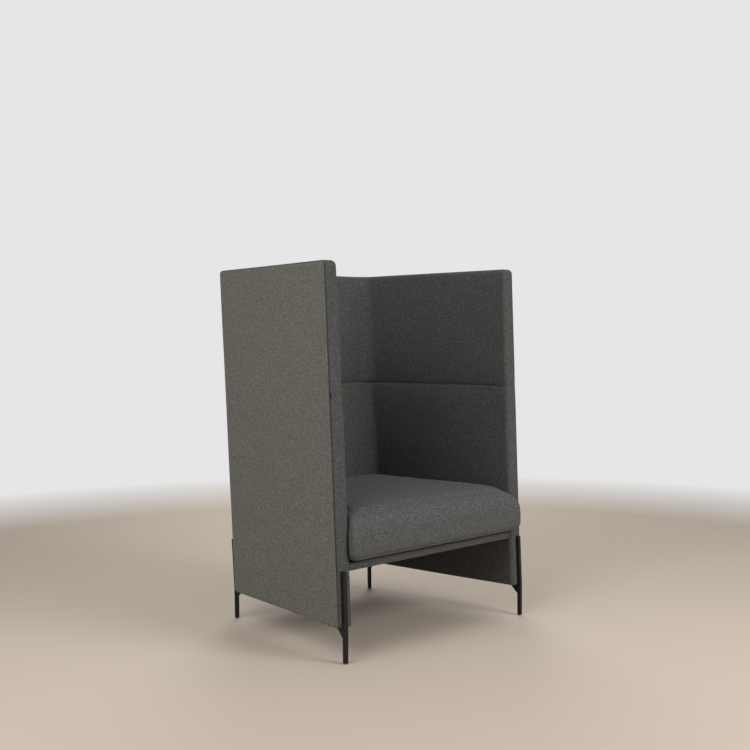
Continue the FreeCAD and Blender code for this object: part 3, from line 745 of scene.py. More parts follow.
def back_columns():
    columns = groove_columns(1)
    start = columns[-1][1]
    columns += [("back", start + (1 - start) * share, 0) for share in even_shares(BACK_STATIONS)[1:]]
    return columns


def outer_panel(name, rows, first_shade, turn_faces, node):
    """Panel of the outer skin, with painted shade in its seams, in place of a solid of the frame."""
    piece = sheet_piece(name, rows, lit_outer_wool)
    if turn_faces:
        flipped(piece)
    shade_seams(piece, seam_shares(len(rows), FLAT_SHADE, []),
                seam_shares(len(rows[0]), first_shade, FLAT_SHADE))
    thicken(piece, FABRIC)
    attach(piece, "chair")
    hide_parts(node)
    print(name, "has", len(piece.data.polygons), "faces")


right_rows = outer_skin(side_columns())
left_rows = [mirrored(row) for row in right_rows]
back_rows = [whole_line(row) for row in outer_skin(back_columns())]
outer_panel("side_panel_right", right_rows, EDGE_SHADE, False, "side_cover_right")
outer_panel("side_panel_left", left_rows, EDGE_SHADE, True, "side_cover_left")
outer_panel("back_panel", back_rows, FLAT_SHADE, False, "back_cover")

# %% [markdown]
# ## Inner padding
# Inside, the padding comes in two tiers that both wrap round the front edges. The upper one is even and goes
# over the top of the walls. The lower one is fuller: it swells behind the sitter's back and runs down beside
# the seat and on to the underside. The seam between the tiers pulls both in, so the upper one hangs over it
# in shade and the lower one catches light just below it.

# %% Inner padding
TUCK = 5 * MM
FRONT_SWELL = 5.6 * MM
SIDE_SWELL = 9 * MM
LUMBAR_SWELL = 28 * MM
SIDE_CROWN = 3 * MM
BACK_CROWN = 2.5 * MM
INNER_SWELL = 0.8 * MM
UPPER_RADIUS = 52 * MM
LOWER_RADIUS = 26 * MM
# Share of the tier seam's depth that is left at the walls' front edges, and where it has come to its full
# depth, as a share of the wall's length
SEAM_AT_EDGE = 0.3
SEAM_EASE = 0.14
# Distance from the tier seam at which the even rows begin
SEAM_REACH = 86 * MM
# The lower tier is drawn in more than the upper one
LOWER_SINK = 1.15
UPPER_ROWS = 28
LOWER_ROWS = 58

# Level, then extra thickness at the front edge, beside the corner and behind the sitter
UPPER_TIER = [
    (SEAM_LEVEL, FRONT_SWELL * 0.8, 0, 0),
    (SEAM_LEVEL + 0.150, FRONT_SWELL * 0.55, TUCK * 0.4, TUCK * 0.4),
    (SEAM_LEVEL + 0.290, FRONT_SWELL * 0.25, TUCK * 0.3, TUCK * 0.3),
    (OVERALL_HEIGHT, 0, 0, 0),
]
LOWER_TIER = [
    (SHELL_BOTTOM, FRONT_SWELL, FRONT_SWELL, FRONT_SWELL),
    (SEAM_LEVEL - 0.560, FRONT_SWELL, FRONT_SWELL, FRONT_SWELL),
    (SEAM_LEVEL - 0.528, FRONT_SWELL, SIDE_SWELL * 0.8, LUMBAR_SWELL * 0.5),
    (SEAM_LEVEL - 0.400, FRONT_SWELL, SIDE_SWELL, LUMBAR_SWELL * 0.86),
    (SEAM_LEVEL - 0.295, FRONT_SWELL, SIDE_SWELL, LUMBAR_SWELL),
    (SEAM_LEVEL - 0.190, FRONT_SWELL, SIDE_SWELL * 0.96, LUMBAR_SWELL * 0.86),
    (SEAM_LEVEL - 0.080, FRONT_SWELL, SIDE_SWELL * 0.76, LUMBAR_SWELL * 0.44),
    (SEAM_LEVEL - 0.012, FRONT_SWELL * 0.9, SIDE_SWELL * 0.45, LUMBAR_SWELL * 0.17),
    (SEAM_LEVEL, FRONT_SWELL * 0.8, SIDE_SWELL * 0.35, LUMBAR_SWELL * 0.12),
]
# Millimetres from the tier seam, and millimetres that the padding is drawn in there
SEAM_ROLL = [
    (0.0, 13.0), (0.5, 10.9), (1.4, 9.2), (3.0, 7.7), (6.0, 6.2), (11.0, 4.9), (19.0, 3.7), (30.0, 2.6),
    (45.0, 1.5), (62.0, 0.6), (80.0, 0.0),
]
# Distance between the small gathers along the tier seam, their height and how far they reach from it
PUCKER_STEP = 26 * MM
PUCKER_HEIGHT = 0.45 * MM
PUCKER_REACH = 22 * MM


def along_normal(rim, index):
    """Direction, in inset and depth, that leads into the wall from a rim step."""
    before = rim[max(index - 1, 0)]
    after = rim[min(index + 1, len(rim) - 1)]
    run = Vector((after[0] - before[0], after[1] - before[1]))
    if run.length < 1e-9:
        return Vector((0, -1))
    run.normalize()
    return Vector((run.y, -run.x))


def inner_depths(tier, level, share):
    """Depth of the inner face beside the seat at a share of the wall's length, and behind the sitter."""
    at_front = curve_between(tier, level, 1)
    at_join = curve_between(tier, level, 2)
    behind = curve_between(tier, level, 3)
    crown = SIDE_CROWN * 4 * share * (1 - share)
    return WALL + at_front + (at_join - at_front) * share + crown, WALL + at_join, WALL + behind


def seam_sink(kind, value, sink):
    """How far the tier seam draws the padding in; it does so less towards the walls' front edges."""
    if kind != "side":
        return sink
    return sink * (SEAM_AT_EDGE + (1 - SEAM_AT_EDGE) * min(1, value / SEAM_EASE))


def inner_edge_place(tier, level, step, inset, sink):
    """Point of a rim step round the wall's front edge, drawn in a little where the tier seam ends."""
    rim = inner_rim(inner_depths(tier, level, 0)[0])
    in_wall = along_normal(rim, step) * sink * (SEAM_AT_EDGE * min(1, step / len(INNER_SEAM)))
    return wall_point(inset + in_wall.x, rim[step][1] + in_wall.y, level)


def inner_place(tier, radius, kind, value, level, sunk):
    """Point on the inner skin of the right half; sunk is how far it lies under the even inner face."""
    share = value if kind == "side" else 0
    side, join_side, behind = inner_depths(tier, level, share)
    round_radius = radius + sunk
    join_side -= sunk
    behind -= sunk
    if kind == "side":
        length = side_length(level, round_radius, join_side, behind)
        return wall_point(SIDE_CORNER + value * (length - SIDE_CORNER), side - sunk, level)
    centre = corner_centre(level, round_radius, join_side, behind)
    if kind == "corner":
        return centre + turned(SPLAY + value * (math.pi / 2 - SPLAY)) * round_radius
    crown = BACK_CROWN * (1 - (1 - value) ** 2)
    return Vector((centre.x * (1 - value), centre.y + round_radius - crown, level))


def inner_columns():
    columns = [("edge", 0) for _ in inner_rim(WALL)]
    columns += [("side", share) for share in even_shares(SIDE_STATIONS)]
    columns += [("corner", share) for share in even_shares(CORNER_STATIONS)[1:]]
    columns += [("back", share) for share in even_shares(BACK_STATIONS)[1:]]
    return columns


def pucker(point, from_seam):
    """Small gathers that the seam pulls into the fabric, fading away from it."""
    along = point.x * 0.7 + point.y
    wave = math.sin(along * 2 * math.pi / PUCKER_STEP + 3 * ripple(point, 0.05, 21))
    return PUCKER_HEIGHT * wave * math.exp(-from_seam / PUCKER_REACH)


def inner_skin(tier, radius, rows, rim_rows):
    """Rows of points over the right half; a row has its level, its sink and its distance from the seam."""
    rim = inner_rim(WALL)
    insets = [inset for inset, _ in rim]
    result = []
    for row_index, (level, sink, from_seam) in enumerate(rows):
        in_rim = row_index < rim_rows
        row = []
        for column_index, (kind, value) in enumerate(inner_columns()):
            if in_rim and kind == "edge":
                inset, inset_top = bend_corner(row_index, column_index, insets, len(rim))
                here = OVERALL_HEIGHT - inset_top
                step = min(row_index, column_index)
                point = inner_edge_place(tier, here, step, inset, 0)
            elif kind == "edge":
                point = inner_edge_place(tier, level, column_index, insets[column_index], sink)
            elif in_rim:
                point = inner_place(tier, radius, kind, value, level, WALL - rim[row_index][1])
            else:
                eased = seam_sink(kind, value, sink)
                even = inner_place(tier, radius, kind, value, level, eased)
                raised_by = swollen(even, INNER_SWELL, 14) + pucker(even, from_seam)
                point = inner_place(tier, radius, kind, value, level, eased - raised_by)
            row.append(point)
        result.append(row)
    return result


def upper_rows():
    rows = [(OVERALL_HEIGHT - inset, 0, 1) for inset, _ in inner_rim(WALL)]
    for level in even_steps(OVERALL_HEIGHT - SIDE_CORNER, SEAM_LEVEL + SEAM_REACH, UPPER_ROWS):
        rows.append((level, 0, level - SEAM_LEVEL))
    for above, sink in reversed(SEAM_ROLL):
        rows.append((SEAM_LEVEL + above * MM, sink * MM, above * MM))
    return rows


def lower_rows():
    lowest = SHELL_BOTTOM + HEM_GAP
    rows = [(SEAM_LEVEL - below * MM, sink * LOWER_SINK * MM, below * MM) for below, sink in SEAM_ROLL]
    for level in even_steps(SEAM_LEVEL - SEAM_REACH, lowest + 10 * MM, LOWER_ROWS):
        rows.append((level, 0, SEAM_LEVEL - level))
    for above, sink in HEM:
        rows.append((lowest + above * MM, sink * MM, 1))
    return rows


def inner_padding(name, half_rows, row_shade, tier_shade, nodes):
    """One tier of padding, from the right front edge round to the left one."""
    rows = [whole_line(row) for row in half_rows]
    piece = flipped(sheet_piece(name, rows, shaded_inner_wool))
    shade_seams(piece, seam_shares(len(rows), row_shade, []),
                seam_shares(len(rows[0]), EDGE_SHADE, EDGE_SHADE), seam_shares(len(rows), *tier_shade))
    thicken(piece, FABRIC)
    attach(piece, "chair")
    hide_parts(*nodes)
    print(name, "has", len(piece.data.polygons), "faces")


UPPER_NODES = ["upper_pad_left", "upper_pad_right", "upper_pad_back", "top_band"]
LOWER_NODES = [
    "lower_pad_left", "lower_pad_right", "lower_pad_back", "edge_band_left", "edge_band_right",
    "under_lining_left", "under_lining_right", "under_lining_back",
]
upper_half = inner_skin(UPPER_TIER, UPPER_RADIUS, upper_rows(), len(inner_rim(WALL)))
lower_half = inner_skin(LOWER_TIER, LOWER_RADIUS, lower_rows(), 0)
inner_padding("upper_padding", upper_half, FLAT_SHADE, ([], FLAT_SHADE), UPPER_NODES)
inner_padding("lower_padding", lower_half, [], (FLAT_SHADE, []), LOWER_NODES)

# %% [markdown]
# ## Loose seat cushion
# The cushion is foam in a sewn cover, wider at the front than at the back, with a high crown and full round
# edges. Its body is lofted, remeshed to an even net and then blown up a little as cloth, with the underside
# pinned where it rests on the deck. The cap on every point's travel keeps it clear of the walls.

# %% Loose seat cushion
CUSHION_BOTTOM = 0.3185
CUSHION_FRONT = -0.3983
CUSHION_REAR = 0.281
CUSHION_MIDDLE = (CUSHION_FRONT + CUSHION_REAR) / 2
CUSHION_HALF = 0.345
CUSHION_SPLAY = math.radians(7.3)
CUSHION_FRONT_RADIUS = 15 * MM
CUSHION_REAR_RADIUS = 32 * MM
# Behind a bulging front corner the side is drawn in, at the neck, by a share of the bulge
CUSHION_NECK = 22 * MM
NECK_SHARE = 0.2
# The left front corner bulges less than the right one
LEFT_BULGE = 0.45
# The blank leaves this much room for puffing up; its top and underside are closed by shrunk outlines, and
# the top rises a little to its middle
PUFF_ROOM = 1.5 * MM
END_SHARES = (0.75, 0.5, 0.25, 0.02)
TOP_LIFT = 1.5 * MM
NET = 6 * MM
PUFF_FRAMES = 20
PUFF_CAP = 7 * MM
CUSHION_SEAM = 13 * MM

# Height above the underside, then how far the front and the other sides are drawn in there and how far the
# front corners bulge out in front of the walls' edges, in millimetres
CUSHION_ROWS = [
    (0, 20, 12, 13), (4, 11, 6.2, 19), (9, 5.5, 3.5, 24), (16, 2, 1.2, 28), (26, 0, 0, 30), (60, 0, 0, 30),
    (88, 1, 0, 28), (112, 7, 1, 18), (132, 20, 4, 8), (148, 46, 12, 2), (160, 100, 40, 0),
    (166, 180, 112, 0),
]


def cushion_table():
    return [[value * MM for value in row] for row in CUSHION_ROWS]


def cushion_side(drawn_front, drawn_side, bulge, level, steps):
    """Right half of the cushion's outline, from the front's middle to the rear's."""
    front = CUSHION_FRONT + drawn_front
    rear = CUSHION_REAR - drawn_side
    front_radius = CUSHION_FRONT_RADIUS + drawn_front / 2
    rear_radius = CUSHION_REAR_RADIUS + drawn_side / 2
    tangent = math.tan(CUSHION_SPLAY)

    def centre(y, radius):
        x = CUSHION_HALF - drawn_side - tangent * y - radius / math.cos(CUSHION_SPLAY)
        return Vector((x, y, level))

    front_centre = centre(front + front_radius, front_radius) + Vector((bulge, 0, 0))
    rear_centre = centre(rear - rear_radius, rear_radius)
    neck = centre(front_centre.y + CUSHION_NECK, 0) - Vector((bulge * NECK_SHARE, 0, 0))
    to_neck = neck - front_centre
    end_angle = math.atan2(to_neck.y, to_neck.x) - math.acos(min(1, front_radius / to_neck.length))
    front_end = front_centre + turned(end_angle) * front_radius
    side_end = rear_centre + turned(CUSHION_SPLAY) * rear_radius
    half = line_steps(Vector((0, front, level)), Vector((front_centre.x, front, level)), steps)
    half += arc_steps(front_centre, front_radius, -math.pi / 2, end_angle, steps // 2)
    half += line_steps(front_end, neck, 4)
    half += line_steps(neck, side_end, steps)
    half += arc_steps(rear_centre, rear_radius, CUSHION_SPLAY, math.pi / 2, steps // 2)
    half += line_steps(Vector((rear_centre.x, rear, level)), Vector((0, rear, level)), steps)
    half.append(Vector((0, rear, level)))
    return half


def cushion_outline(drawn_front, drawn_side, bulge, level, steps):
    """Closed outline of the cushion at one level."""
    right = cushion_side(drawn_front, drawn_side, bulge, level, steps)
    left = mirrored(cushion_side(drawn_front, drawn_side, bulge * LEFT_BULGE, level, steps))
    return right + list(reversed(left[1:-1]))


def line_steps(start, end, count):
    return [start.lerp(end, number / count) for number in range(count)]


def arc_steps(centre, radius, first, last, count):
    return [centre + turned(first + (last - first) * number / count) * radius for number in range(count)]


def shrunk(outline, share, lift):
    """Copy of an outline drawn together to a share of its size."""
    return [Vector((point.x * share, CUSHION_MIDDLE + (point.y - CUSHION_MIDDLE) * share, point.z + lift))
            for point in outline]


def cushion_blank():
    """Closed lofted body of the cushion, a little smaller than the finished one."""
    table = cushion_table()
    heights = sorted({row[0] for row in table} | {number * 6 * MM for number in range(28)})
    body = []
    for height in heights:
        drawn_front, drawn_side, bulge = (curve_between(table, height, column) for column in (1, 2, 3))
        body.append(cushion_outline(drawn_front + PUFF_ROOM, drawn_side + PUFF_ROOM, bulge,
                                    CUSHION_BOTTOM + height, 24))
    under = [shrunk(body[0], share, 0) for share in reversed(END_SHARES)]
    top = [shrunk(body[-1], share, TOP_LIFT * (1 - share)) for share in END_SHARES]
    rows = under + body + top
    count = len(rows[0])
    faces = grid_faces(len(rows), count, True)
    faces.append(tuple(range(count - 1, -1, -1)))
    faces.append(tuple(range((len(rows) - 1) * count, len(rows) * count)))
    return add_piece("seat_cushion", [point for row in rows for point in row], faces, seat_wool)


def remeshed(piece, voxel):
    remesh = piece.modifiers.new("remesh", "REMESH")
    remesh.mode = "VOXEL"
    remesh.voxel_size = voxel
    remesh.use_smooth_shade = True
    return make_plain(piece)


def points_of(mesh):
    flat = np.empty(len(mesh.vertices) * 3)
    mesh.vertices.foreach_get("co", flat)
    return flat.reshape(-1, 3)


def normals_of(mesh):
    flat = np.empty(len(mesh.vertices) * 3)
    mesh.vertex_normals.foreach_get("vector", flat)
    return flat.reshape(-1, 3)


def set_points(mesh, points):
    mesh.vertices.foreach_set("co", np.asarray(points, np.float32).ravel())
    mesh.update()


def puff_up(piece, held, pressure, cap):
    """Blow a closed piece up as cloth and move each point out by what it gained, up to a cap."""
    before = points_of(piece.data)
    pins = piece.vertex_groups.new(name="held")
    pins.add([int(index) for index in np.flatnonzero(held(before))], 1.0, "REPLACE")
    cloth = piece.modifiers.new("cloth", "CLOTH")
    settings = cloth.settings
    settings.quality = 4
    settings.mass = 0.3
    settings.tension_stiffness = 12
    settings.compression_stiffness = 12
    settings.shear_stiffness = 6
    settings.bending_stiffness = 0.6
    settings.vertex_group_mass = "held"
    settings.use_pressure = True
    settings.uniform_pressure_force = pressure
    settings.effector_weights.gravity = 0
    cloth.collision_settings.use_collision = False
    cloth.point_cache.frame_start = 1
    cloth.point_cache.frame_end = PUFF_FRAMES
    for number in range(1, PUFF_FRAMES + 1):
        bpy.context.scene.frame_set(number)
    evaluated = piece.evaluated_get(bpy.context.evaluated_depsgraph_get())
    after = points_of(evaluated.data)
    piece.modifiers.remove(cloth)
    piece.vertex_groups.clear()
    bpy.context.scene.frame_set(1)
    outwards = normals_of(piece.data)
    gain = np.sum((after - before) * outwards, axis=1, keepdims=True)
    set_points(piece.data, before + outwards * np.clip(gain, 0, cap))
    return float(gain.max())


def draw_in_seam(piece, level, depth, width):
    """Press a groove into the cushion's sides along a level line."""
    points = points_of(piece.data)
    outwards = points[:, :2] - np.array([0, CUSHION_MIDDLE])
    outwards /= np.maximum(np.linalg.norm(outwards, axis=1, keepdims=True), 1e-9)
    share = np.exp(-((points[:, 2] - level) / width) ** 2)[:, None]
    points[:, :2] -= outwards * share * depth
    set_points(piece.data, points)


def roughen(piece, amount):
    """Slight, uneven give of fabric over foam, everywhere but on the underside."""
    points = points_of(piece.data)
    normals = normals_of(piece.data)
    lifts = np.array([ripple(point, 0.11, 5) + 0.35 * ripple(point, 0.03, 6) for point in points])
    free = np.clip((points[:, 2] - CUSHION_BOTTOM) / 0.02, 0, 1)
    set_points(piece.data, points + normals * (lifts * free * amount)[:, None])


cushion = cushion_blank()
remeshed(cushion, NET)
travel = puff_up(cushion, lambda points: points[:, 2] < CUSHION_BOTTOM + 8 * MM, 4.0, PUFF_CAP)
print("cushion wanted to move up to %.0f mm" % (travel * 1000))
smooth = cushion.modifiers.new("finer", "SUBSURF")
smooth.levels = 1
smooth.render_levels = 1
make_plain(cushion)
roughen(cushion, 0.9 * MM)
draw_in_seam(cushion, CUSHION_BOTTOM + CUSHION_SEAM, 2.2 * MM, 2.6 * MM)
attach(cushion, "cushion")
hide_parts("cushion_cover", "cushion_foam")
print("cushion:", len(cushion.data.polygons), "faces")

# %% [markdown]
# ## Cover of the front rail
# Below the cushion the front rail shows as a narrow padded bar between the walls. Its fabric is pulled round
# all four edges, so the section is a rectangle with soft corners.

# %% Cover of the front rail
RAIL_BOTTOM = 0.286
RAIL_COVER_TOP = 0.3125
RAIL_FRONT = -0.358
RAIL_REAR = -0.307
RAIL_ROUND = 6 * MM
RAIL_DEPTH = WALL + FRONT_SWELL + 1 * MM
RAIL_COLUMNS = 121


def rounded_section(low, high, radius, steps):
    """Closed outline, in y and z, of a rectangle with round corners."""
    corners = [
        (high[0] - radius, low[1] + radius, -math.pi / 2),
        (high[0] - radius, high[1] - radius, 0),
        (low[0] + radius, high[1] - radius, math.pi / 2),
        (low[0] + radius, low[1] + radius, math.pi),
    ]
    outline = []
    for y, z, start in corners:
        for number in range(steps + 1):
            angle = start + math.pi / 2 * number / steps
            outline.append((y + radius * math.cos(angle), z + radius * math.sin(angle)))
    return outline


def rail_cover_rows():
    section = rounded_section((RAIL_FRONT, RAIL_BOTTOM), (RAIL_REAR, RAIL_COVER_TOP), RAIL_ROUND, 6)
    rows = []
    for share in even_steps(-1, 1, RAIL_COLUMNS):
        row = []
        for y, z in section:
            x = share * wall_x(y, RAIL_DEPTH, z)
            lift = 0.5 * MM * ripple((x, y, z), 0.08, 31)
            row.append(Vector((x, y + lift, z + lift)))
        rows.append(row)
    return rows


rail_cover = sheet_piece("rail_cover", rail_cover_rows(), shaded_inner_wool, True)
ends = bmesh.new()
ends.from_mesh(rail_cover.data)
bmesh.ops.holes_fill(ends, edges=[edge for edge in ends.edges if edge.is_boundary])
bmesh.ops.recalc_face_normals(ends, faces=ends.faces)
ends.to_mesh(rail_cover.data)
ends.free()
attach(rail_cover, "chair")
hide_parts("front_rail_cover")
print("rail cover:", len(rail_cover.data.polygons), "faces")

# %% [markdown]
# ## Legs
# Each leg is one piece of flat and square steel: a bar that tapers a little to the floor, a strip that runs
# up the wall's edge, and a slanted web that carries a tongue under the wall. Welded and coated edges are
# never sharp, so every edge gets a small bevel, with normals weighted to keep the flats flat.

# %% Legs
LEG_BAR = 14 * MM
LEG_FOOT = 12 * MM
LEG_TOP = 0.292
LEG_INSET = 20.5 * MM
LEG_WEB = 28 * MM
TONGUE_THICK = 4 * MM
TONGUE_WIDTH = 28 * MM
TONGUE_UNDER = SHELL_BOTTOM - TONGUE_THICK
FRONT_TONGUE = 72 * MM
REAR_TONGUE = 42 * MM
REAR_LEG_ANGLE = math.radians(62)
GLIDE_HEIGHT = 3 * MM
LEG_BEVEL = 0.9 * MM


def leg_profile(lean, tongue):
    """Side view of a leg: distance into the wall, and level."""
    drift = lean * (LEG_TOP - SHELL_BOTTOM)
    taper = (LEG_BAR - LEG_FOOT) / 2
    return [
        (drift - LEG_BAR, LEG_TOP), (-LEG_BAR, SHELL_BOTTOM), (taper - LEG_BAR, GLIDE_HEIGHT),
        (-taper, GLIDE_HEIGHT), (-taper, TONGUE_UNDER - LEG_WEB), (LEG_WEB, TONGUE_UNDER),
        (tongue, TONGUE_UNDER), (tongue, SHELL_BOTTOM), (0, SHELL_BOTTOM), (drift, LEG_TOP),
    ]


def prism(mesh, outline, near, far):
    """Add a prism to a bmesh between two copies of an outline."""
    first = [mesh.verts.new(near(point)) for point in outline]
    second = [mesh.verts.new(far(point)) for point in outline]
    mesh.faces.new(first)
    mesh.faces.new(list(reversed(second)))
    for index in range(len(outline)):
        following = (index + 1) % len(outline)
        mesh.faces.new((first[following], first[index], second[index], second[following]))


def leg_frame(front):
    """Foot point of a right-hand leg, and how far its own frame is turned."""
    if front:
        return wall_point(0, LEG_INSET, SHELL_BOTTOM), SPLAY
    centre = corner_centre(SHELL_BOTTOM, CORNER_RADIUS, 0, 0)
    return centre + turned(REAR_LEG_ANGLE) * CORNER_RADIUS, math.pi / 2 + REAR_LEG_ANGLE


def leg_lean(front):
    """How far the strip leans into the wall per unit of height, so that it lies on the wall's face."""
    if front:
        return FRONT_RAKE / math.cos(SPLAY) - math.sin(SPLAY) * FLARE
    rate = FLARE - math.tan(SPLAY) * BACK_RAKE
    return -(rate * math.cos(REAR_LEG_ANGLE) + BACK_RAKE * math.sin(REAR_LEG_ANGLE))


def leg(name, front, side):
    tongue = FRONT_TONGUE if front else REAR_TONGUE
    shape = bmesh.new()
    half = LEG_BAR / 2
    prism(shape, leg_profile(leg_lean(front), tongue),
          lambda point: (half, point[0], point[1]), lambda point: (-half, point[0], point[1]))
    wide = TONGUE_WIDTH / 2
    plate = [(wide, TONGUE_THICK), (wide, tongue), (-wide, tongue), (-wide, TONGUE_THICK)]
    prism(shape, plate, lambda point: (point[0], point[1], SHELL_BOTTOM),
          lambda point: (point[0], point[1], TONGUE_UNDER))
    place, turn = leg_frame(front)
    move = Matrix.Translation((place.x, place.y, 0)) @ Matrix.Rotation(turn, 4, "Z")
    bmesh.ops.transform(shape, matrix=Matrix.Diagonal((side, 1, 1, 1)) @ move, verts=shape.verts)
    bmesh.ops.recalc_face_normals(shape, faces=shape.faces)
    mesh = bpy.data.meshes.new(name)
    shape.to_mesh(mesh)
    shape.free()
    mesh.materials.append(coat)
    piece = new_object(name, mesh)
    bevel = piece.modifiers.new("bevel", "BEVEL")
    bevel.width = LEG_BEVEL
    bevel.segments = 3
    mesh.polygons.foreach_set("use_smooth", [True] * len(mesh.polygons))
    piece.modifiers.new("flats", "WEIGHTED_NORMAL")
    return make_plain(piece)


for end, front in (("front", True), ("rear", False)):
    for hand, side in (("right", 1), ("left", -1)):
        piece = leg("leg_%s_%s" % (end, hand), front, side)
        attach(piece, "chair")
        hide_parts("%s_leg_%s" % (end, hand))
print("legs:", len(piece.data.polygons), "faces each")

# %% [markdown]
# ## Glides
# A turned plastic glide with a rounded foot is pressed into the end of each leg.

# %% Glides
# Radius and height of each ring, in millimetres
GLIDE_PROFILE = [(3.6, 0.0), (4.9, 0.4), (5.5, 1.2), (5.5, 2.4), (5.0, 3.0)]


def from_leg(front, across, inwards):
    """Place on the right-hand side, in plan, of a point in a leg's own frame."""
    place, turn = leg_frame(front)
    x = place.x + across * math.cos(turn) - inwards * math.sin(turn)
    y = place.y + across * math.sin(turn) + inwards * math.cos(turn)
    return Vector((x, y, 0))


def turned_pieces(name, places, profile, steps, material):
    """One mesh of the same turned shape, closed at both ends, on every place."""
    points = []
    faces = []
    rings = len(profile)
    for place in places:
        base = len(points)
        for radius, height in profile:
            for number in range(steps):
                angle = 2 * math.pi * number / steps
                points.append(place + turned(angle) * radius * MM + Vector((0, 0, height * MM)))
        faces += [tuple(base + index for index in face) for face in grid_faces(rings, steps, True)]
        faces.append(tuple(base + number for number in reversed(range(steps))))
        faces.append(tuple(base + (rings - 1) * steps + number for number in range(steps)))
    return add_piece(name, points, faces, material)


right_glides = [from_leg(front, 0, -LEG_BAR / 2) for front in (True, False)]
glide_places = right_glides + mirrored(right_glides)
glides = turned_pieces("glides", glide_places, GLIDE_PROFILE, 28, black_plastic)
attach(glides, "chair")
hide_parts("leg_glides")
print("glides under", len(glide_places), "legs")

# %% [markdown]
# ## Geometry Nodes for what repeats
# Stitches and staples are the same small shape again and again, so a node tree places them. The tree turns
# a drawn line into a curve, cuts it into even steps and sets one shape on each step, turned along the line.
# Its sizes are named inputs, and the result is made real and given its material inside the tree.

# %% A tree that sets a small shape along a line
def tree_input(tree, name, kind, default):
    socket = tree.interface.new_socket(name=name, in_out="INPUT", socket_type=kind)
    socket.default_value = default


def row_tree(name, shape_kind, shape_inputs, material):
    """Tree that sets a scaled unit shape at even steps along every drawn line."""
    tree = bpy.data.node_groups.new(name, "GeometryNodeTree")
    tree.interface.new_socket(name="Line", in_out="INPUT", socket_type="NodeSocketGeometry")
    tree_input(tree, "Step", "NodeSocketFloat", 4.4 * MM)
    tree_input(tree, "Size", "NodeSocketVector", (1.7 * MM, 0.35 * MM, 0.35 * MM))
    tree_input(tree, "Unevenness", "NodeSocketFloat", 0.06)
    tree.interface.new_socket(name="Row", in_out="OUTPUT", socket_type="NodeSocketGeometry")
    given = put_node(tree, "NodeGroupInput").socket.node.outputs
    line, step, size, uneven = [Wire(tree, given[name]) for name in ("Line", "Step", "Size", "Unevenness")]
    curve = put_node(tree, "GeometryNodeMeshToCurve", inputs={"Mesh": line})
    even = put_node(tree, "GeometryNodeResampleCurve", {"mode": "LENGTH"}, {"Curve": curve, "Length": step})
    unit = put_node(tree, shape_kind, inputs=shape_inputs)
    shaped = put_node(tree, "GeometryNodeTransform", inputs={"Geometry": unit, "Scale": size})
    tangent = put_node(tree, "GeometryNodeInputTangent")
    facing = put_node(tree, "FunctionNodeAlignRotationToVector", {"axis": "X"}, {"Vector": tangent})
    tilt = put_node(tree, "FunctionNodeRandomValue", {"data_type": "FLOAT_VECTOR"},
                    {"Min": (-1, -1, -1), "Max": (1, 1, 1), "Seed": 7})
    turn = put_node(tree, "ShaderNodeVectorMath", {"operation": "SCALE"}, {0: tilt, "Scale": uneven})
    rotated = put_node(tree, "FunctionNodeRotateRotation", {"rotation_space": "LOCAL"},
                       {"Rotation": facing, "Rotate By": turn})
    placed = put_node(tree, "GeometryNodeInstanceOnPoints",
                      inputs={"Points": even, "Instance": shaped, "Rotation": rotated})
    real = put_node(tree, "GeometryNodeRealizeInstances", inputs={"Geometry": placed})
    smooth = put_node(tree, "GeometryNodeSetShadeSmooth", inputs={"Geometry": real})
    painted = put_node(tree, "GeometryNodeSetMaterial", inputs={"Geometry": smooth, "Material": material})
    put_node(tree, "NodeGroupOutput", inputs={0: painted})
    return tree


def set_along(name, lines, tree, values, body):
    """Run the tree on drawn lines and keep the result as a plain piece on its body."""
    points = []
    edges = []
    for line in lines:
        base = len(points)
        points += [tuple(point) for point in line]
        edges += [(base + index, base + index + 1) for index in range(len(line) - 1)]
    mesh = bpy.data.meshes.new(name)
    mesh.from_pydata(points, edges, [])
    piece = new_object(name, mesh)
    modifier = piece.modifiers.new("row", "NODES")
    modifier.node_group = tree
    for item in tree.interface.items_tree:
        if item.in_out == "INPUT" and item.name in values:
            modifier[item.identifier] = values[item.name]
    make_plain(piece)
    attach(piece, body)
    print(name, "has", len(piece.data.polygons), "faces")


stitch_tree = row_tree("stitches", "GeometryNodeMeshUVSphere", {"Segments": 6, "Rings": 4}, thread)
staple_tree = row_tree("staples", "GeometryNodeMeshCube", {}, zinc)
print("trees for", stitch_tree.name, "and", staple_tree.name)

# %% [markdown]
# ## Seams
# The main seam runs up each front edge, along the top of the walls and round behind: there the outer panels
# meet the inner padding. Two upright seams close the back, one level seam parts the two tiers of padding, and
# one runs round the cushion. The stitches sit just above the bottom of each groove.

# %% Seams
STITCH = {"Step": 4.4 * MM, "Size": (1.8 * MM, 0.5 * MM, 0.5 * MM)}
SEAM_DEPTH = 5.6 * MM
TIER_SEAM_DEPTH = 9.6 * MM
BACK_SEAM_DEPTH = 1.9 * MM
CUSHION_SEAM_DEPTH = 3 * MM
SEAM_START = SHELL_BOTTOM + 4 * MM


def main_seam():
    """Line in the groove between outer panels and inner padding, from the right front to the middle."""
    bend_start = OVERALL_HEIGHT - SIDE_CORNER
    reach = SIDE_CORNER - SEAM_DEPTH
    line = [wall_point(SEAM_DEPTH, SEAM_DEPTH, level) for level in even_steps(SEAM_START, bend_start, 90)]
    for number in range(1, 8):
        angle = math.pi / 2 * number / 8
        line.append(wall_point(SIDE_CORNER - reach * math.cos(angle), SEAM_DEPTH,
                               bend_start + reach * math.sin(angle)))
    level = OVERALL_HEIGHT - SEAM_DEPTH
    for kind, count in (("side", 40), ("corner", 14), ("back", 24)):
        line += [outer_place(kind, share, SEAM_DEPTH, level, 0) for share in even_shares(count)[:-1]]
    line.append(outer_place("back", 1, SEAM_DEPTH, level, 0))
    return line


